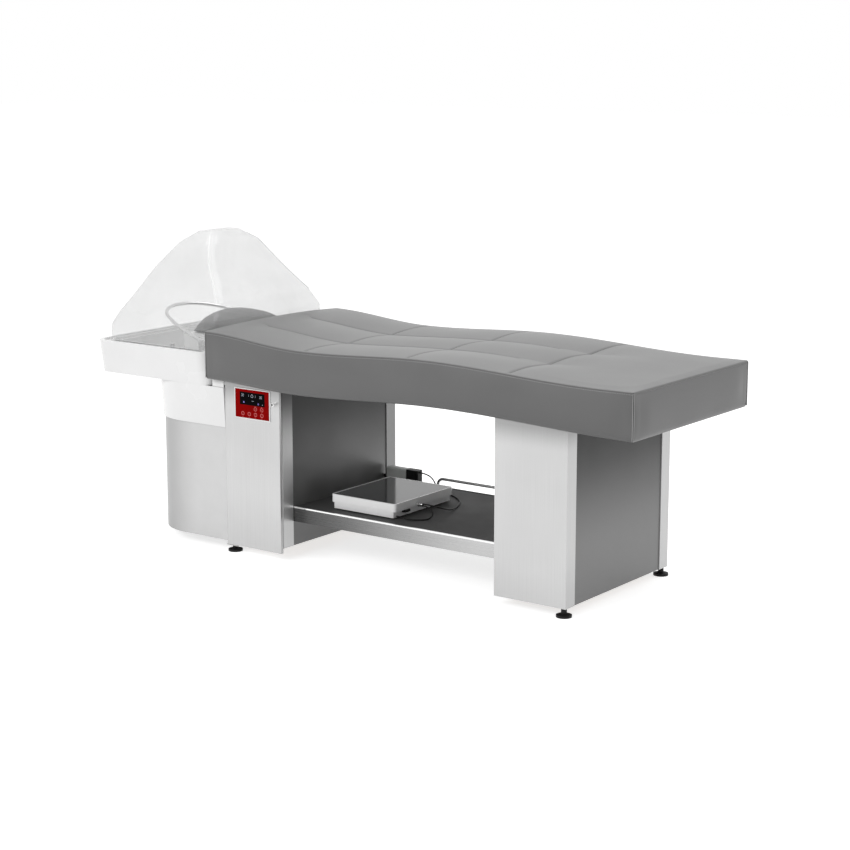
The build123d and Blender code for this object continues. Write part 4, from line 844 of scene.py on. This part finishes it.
def pillow_cover():
    piece = placed("head_pillow_cover", frame["nodes"]["head_pillow"].data.copy())
    piece.data.name = piece.name
    edit_whole(piece)
    bpy.ops.mesh.remove_doubles(threshold=0.02 * MM)
    end_outwards()
    apply_modifier(piece, "REMESH", mode="VOXEL", voxel_size=5 * MM)
    for vertex in piece.data.vertices:
        co = vertex.co
        share = min(max((abs(co.y) - PILLOW_END + NOSE_LENGTH) / NOSE_LENGTH, 0.0), 1.0)
        nose = NOSE_RISE * (1 - math.sqrt(1 - share * share))
        co.z = PILLOW_FOOT + max((co.z - PILLOW_FOOT) * PILLOW_HEIGHT, nose)
        co.y *= PILLOW_LENGTH
    held = [v.index for v in piece.data.vertices if v.co.z < PILLOW_FOOT + 3 * MM]
    swell_as_cloth(piece, held, PILLOW_SWELL)
    apply_modifier(piece, "SUBSURF", levels=1, render_levels=1)
    apply_modifier(piece, "SMOOTH", factor=0.5, iterations=14)
    smooth(piece, SOFT_ANGLE)
    finish_piece(piece, "bed", "leatherette", LEATHER, "head_pillow")


# Painted seam shadows, corner welts and hood fold highlights are thin tubes

DIAGONAL = math.sqrt(0.5)
THREAD_STEP = 6 * MM


def tubes(name, lines, radius, body, slot, material):
    """One mesh of round tubes along lines of points, their ends closed."""
    piece, curve = round_curve(name, radius, 1)
    for line in lines:
        spline = curve.splines.new("POLY")
        spline.points.add(len(line) - 1)
        for point, co in zip(spline.points, line):
            point.co = (*co, 1.0)
    active(piece)
    bpy.ops.object.convert(target="MESH")
    piece = bpy.context.object
    smooth(piece, SOFT_ANGLE)
    return finish_piece(piece, body, slot, material)


def steps(start, end, spacing):
    count = max(2, math.ceil(abs(end - start) / spacing))
    return [start + (end - start) * i / count for i in range(count + 1)]


def seam_shadow_lines(cover):
    """Dark lines lying at the bottom of each sewn seam, as far as the seam is drawn in: painted shadow in the seams.
    """
    shape = ray_tree(cover.data)
    sunk, from_head, to_row = 0.1 * MM, 75 * MM, 110 * MM

    def on_cover(x, y):
        return (x, y, shape.ray_cast(Vector((x, y, RAY_HIGH)), Vector((0, 0, -1)))[0].z - sunk)

    across = steps(SIDE_FADE - HALF_WIDTH, HALF_WIDTH - SIDE_FADE, THREAD_STEP)
    along = steps(HEAD_END + from_head, CROSS_SEAMS[-1] - to_row, THREAD_STEP)
    lines = [[on_cover(x, y) for y in across] for x in CROSS_SEAMS]
    lines += [[on_cover(x, y) for x in along] for y in (-LONG_SEAM, LONG_SEAM)]
    tubes("seam_shadow_lines", lines, 0.8 * MM, "bed", "leatherette", SEAM_SHADOW)


def corner_seams():
    """Each upright corner is sewn: a dark line of painted seam shadow between two welts drawn lighter as a painted
    highlight, from under the rolled edge down to the hem.
    """
    welts, seam_shadows = [], []
    inset, apart, under_roll = CORNER_RADIUS * (1 - DIAGONAL), 2.1 * MM, 4 * MM
    for out_x, x in ((-1, HEAD_END), (1, FOOT_END)):
        for out_y in (-1, 1):
            heights = steps(top_wave(x) - under_roll, underside(x) + HEM_RADIUS, THREAD_STEP)
            for aside in (-apart, 0.0, apart):
                across = x - out_x * inset + aside * DIAGONAL * out_x
                back = out_y * (HALF_WIDTH - inset) - aside * DIAGONAL * out_y
                (welts if aside else seam_shadows).append([(across, back, z) for z in heights])
    tubes("corner_welts", welts, 1.35 * MM, "bed", "leatherette", WELT_HIGHLIGHT)
    tubes("corner_seam_shadows", seam_shadows, 1.0 * MM, "bed", "leatherette", SEAM_SHADOW)


def edge_stitches():
    """Top stitching round the couch, just under the sewn line of its rolled edge."""
    drop, pitch, half, margin = BAND_SEAM + 2.2 * MM, 7.5 * MM, 2.3 * MM, 8 * MM
    stand = band_profile(drop, 100 * MM, 0.0) + 0.35 * MM
    lines = []
    for side in (-1, 1):
        for x in steps(HEAD_END + margin, FOOT_END - margin, pitch):
            lines.append([(p, side * (HALF_WIDTH + stand), top_wave(p) - drop) for p in (x - half, x + half)])
        end = FOOT_END if side > 0 else HEAD_END
        for y in steps(margin - HALF_WIDTH, HALF_WIDTH - margin, pitch):
            lines.append([(end + side * stand, q, top_wave(end) + panel_rise(end, q) - drop)
                          for q in (y - half, y + half)])
    tubes("edge_stitches", lines, 0.6 * MM, "bed", "leatherette", STITCH)


# Trim strips that close the boards up to the wavy couch

BOARD_TRIM_FOOT, HOUSING_TRIM_FOOT = 0.5595, 0.5505


def top_trim(name, body, ends, face, inward, slot="brushed_boards", material=SHEET, foot_z=BOARD_TRIM_FOOT):
    """Thin upstand of the board's own sheet, its top edge cut to the underside of the mattress."""
    gap, sheet = 1.6 * MM, 1.2 * MM
    deselect()
    bpy.ops.mesh.primitive_grid_add(x_subdivisions=24, y_subdivisions=2, size=2)
    piece = named(name)
    for vertex in piece.data.vertices:
        x = ends[0] + (ends[1] - ends[0]) * (vertex.co.x + 1) / 2
        share = (vertex.co.y + 1) / 2
        vertex.co = (x, face, foot_z + (underside(x) - gap - foot_z) * share)
    edit_whole(piece)
    bpy.ops.mesh.extrude_region_move(TRANSFORM_OT_translate={"value": (0, inward * sheet, 0)})
    end_outwards()
    apply_modifier(piece, "BEVEL", width=0.25 * MM, segments=2, limit_method="ANGLE")
    smooth(piece)
    return finish_piece(piece, body, slot, material)


def trims():
    door, frame_box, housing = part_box("service_door"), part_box("head_front_frame"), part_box("bowl_housing")
    rear, front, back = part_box("head_rear_board"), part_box("foot_front_board"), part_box("foot_rear_board")
    proud, free, inset = 0.15 * MM, 0.5 * MM, 3 * MM
    top_trim("door_top_trim", "door", (door[0][0] + free, door[1][0] - free), door[0][1] - proud, 1)
    top_trim("head_rear_trim", "bed", (rear[0][0], rear[1][0]), rear[1][1] + proud, -1)
    top_trim("foot_front_trim", "bed", (front[0][0], front[1][0]), front[0][1] - proud, 1)
    top_trim("foot_rear_trim", "bed", (back[0][0], back[1][0]), back[1][1] + proud, -1)
    ends = (HEAD_END + inset, frame_box[0][0] - free)
    for name, face, inward in (("housing_front_trim", housing[0][1] + inset, 1),
                               ("housing_rear_trim", housing[1][1] - inset, -1)):
        top_trim(name, "bed", ends, face, inward, "white_plastic", WHITE_ABS, HOUSING_TRIM_FOOT)


trims()


# Marks on the operating panel: plain rings, bars and dots, in millimetres and degrees. A ring has its x, z and
# radius and its line's radius, and a bar has its x, z, length, width and turn

KEYS = [(-407.5, 475.5), (-380.0, 475.5), (-353.5, 475.5), (-326.5, 475.5), (-353.5, 493.8), (-326.5, 493.8)]
KEY_TURNS = (0, 90, 0, 90, 45, -45)
LOWER_KEYS, LOWER_LINE, UPPER_LINE = 4, 464.8, 503.0
KEY_RING, KEY_BAR, KEY_LINE = (5.8, 0.9), (5.0, 1.0), (6.0, 0.9)
LIT_RINGS = [(-367.2, 535.5, 4.6, 0.8), (-407.0, 535.5, 1.6, 0.7), (-330.5, 534.8, 1.6, 0.7)]
LIT_BARS = [(-381.5, 535.5, 8.0, 1.1, 90), (-353.0, 535.5, 8.0, 1.1, 90), (-364.7, 519.2, 9.0, 1.3, 0),
            (-323.4, 510.7, 3.0, 2.4, 0)]
VIOLET_RINGS = [(-402.5, 513.0, 2.2, 0.9), (-341.0, 511.5, 2.2, 0.9)]
VIOLET_BARS = [(-402.5, 513.0, 2.4, 1.4, 0)]
PETAL_REACH, PETAL_LENGTH, PETAL_WIDTH = 4.6, 4.6, 1.8
MARK_RELIEF = 0.3 * MM


def ring_mark(x, y, z, radius, width):
    deselect()
    bpy.ops.mesh.primitive_torus_add(major_segments=32, minor_segments=8, major_radius=radius, minor_radius=width,
                                     location=(x, y, z), rotation=(math.pi / 2, 0, 0))
    made = bpy.context.object
    made.scale = (1, 1, MARK_RELIEF / width)
    settle(made)
    return made


def bar_mark(x, y, z, length, width, degrees=0):
    deselect()
    bpy.ops.mesh.primitive_cube_add(size=1, location=(x, y, z), rotation=(0, math.radians(degrees), 0))
    made = bpy.context.object
    made.scale = (length, 0.5 * MM, width)
    settle(made)
    apply_modifier(made, "BEVEL", width=0.15 * MM, segments=2)
    return made


def panel_marks(name, y, rings, bars, slot, material):
    """Joins the marks of one colour into one piece."""
    made = [ring_mark(x * MM, y, z * MM, r * MM, w * MM) for x, z, r, w in rings]
    made += [bar_mark(x * MM, y, z * MM, a * MM, b * MM, turn) for x, z, a, b, turn in bars]
    return finish_piece(joined(made, name), "door", slot, material)


def petals(x, z):
    """Four short bars round a middle, as a plain fan mark."""
    turns = (45, 135, 225, 315)
    places = [(PETAL_REACH * math.cos(math.radians(a)), PETAL_REACH * math.sin(math.radians(a))) for a in turns]
    return [(x + right, z + up, PETAL_LENGTH, PETAL_WIDTH, 90 - a) for (right, up), a in zip(places, turns)]


def panel_details():
    plate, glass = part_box("panel_plate")[0][1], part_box("display_glass")[0][1]
    bars = [(x, z, *KEY_BAR, turn) for (x, z), turn in zip(KEYS, KEY_TURNS)]
    bars += [(x, LOWER_LINE, *KEY_LINE, 0) for x, z in KEYS[:LOWER_KEYS]]
    bars += [(x, UPPER_LINE, *KEY_LINE, 0) for x, z in KEYS[LOWER_KEYS:]]
    panel_marks("touch_key_marks", plate, [(x, z, *KEY_RING) for x, z in KEYS], bars, "red_panel", KEY_PRINT)
    fans = [petal for ring in LIT_RINGS[1:] for petal in petals(*ring[:2])]
    panel_marks("display_marks", glass, LIT_RINGS, fans + LIT_BARS, "display", LIT)
    panel_marks("display_accents", glass, VIOLET_RINGS, VIOLET_BARS, "display", VIOLET)


def keyway():
    """Dark ring and slot in the middle of the lock's rose: painted shade of the recessed keyway."""
    low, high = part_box("door_lock")
    x, z = (low[0] + high[0]) / 2, (low[2] + high[2]) / 2
    rose = ring_mark(x, low[1], z, 3.4 * MM, 1.2 * MM)
    slot_bar = bar_mark(x, low[1] - 0.1 * MM, z, 1.6 * MM, 5.0 * MM)
    finish_piece(joined([rose, slot_bar], "lock_keyway"), "lock", "black_plastic", DARK_ABS)


panel_details()
keyway()


# Hood: white beads paint the highlights on its heat-bent folds, and a clear apron fills the neck opening

# Heights of the shell's own rings of points, beside the neck opening and along the folds
NECK_LEVELS = (0.7123, 0.7573, 0.8123, 0.8573)
FOLD_LEVELS = (0.8123, 0.8573, 0.9023, 0.9523, 0.9873, 1.0103)
NECK_HALF, NECK_LOW, NECK_TOP = 0.1047, 0.7146, 0.8300
HOOD_WALL = 1.5 * MM


def hood_ring(level):
    """The points of the hood's shell at one of its levels."""
    return [v.co for v in frame["nodes"]["hood_shell"].data.vertices if abs(v.co.z - level) < 0.2 * MM]


def hood_folds():
    """Fine white beads on the two upright folds of the foot side, at the outermost point of each bend: a painted
    highlight along the folds.
    """
    sunk = 0.3 * MM
    lines = []
    for side in (-1, 1):
        line = []
        for level in FOLD_LEVELS:
            best = max(hood_ring(level), key=lambda co: co.x + side * co.y)
            line.append((best.x - sunk, best.y - side * sunk, level))
        lines.append(line)
    tubes("hood_fold_highlights", lines, 1.4 * MM, "hood", "clear_sheet", FOLD_HIGHLIGHT)


def neck_apron():
    """Clear sheet in the plane of the hood's foot side, cut to the neck opening's arch."""
    walls = [(level, max(co.x for co in hood_ring(level))) for level in NECK_LEVELS]
    deselect()
    bpy.ops.mesh.primitive_grid_add(x_subdivisions=24, y_subdivisions=24, size=2)
    piece = named("hood_neck_apron")
    springing = NECK_TOP - NECK_HALF
    for vertex in piece.data.vertices:
        share = math.sin(math.pi / 4 * (vertex.co.y + 1))
        z = NECK_LOW + (NECK_TOP - NECK_LOW) * share
        half = NECK_HALF if z < springing else math.sqrt(max(NECK_HALF ** 2 - (z - springing) ** 2, 1e-7))
        for (low, x_low), (high, x_high) in zip(walls, walls[1:]):
            if low <= z <= high:
                x = x_low + (x_high - x_low) * (z - low) / (high - low)
        vertex.co = (x, vertex.co.x * half, z)
    edit_whole(piece)
    bpy.ops.mesh.remove_doubles(threshold=0.05 * MM)
    bpy.ops.mesh.extrude_region_move(TRANSFORM_OT_translate={"value": (-HOOD_WALL, 0, 0)})
    end_outwards()
    smooth(piece)
    finish_piece(piece, "hood", "clear_sheet", CLEAR)


hood_folds()
neck_apron()


# The two covers, with their seams and stitches

cover = mattress_cover()
pillow_cover()
seam_shadow_lines(cover)
corner_seams()
edge_stitches()
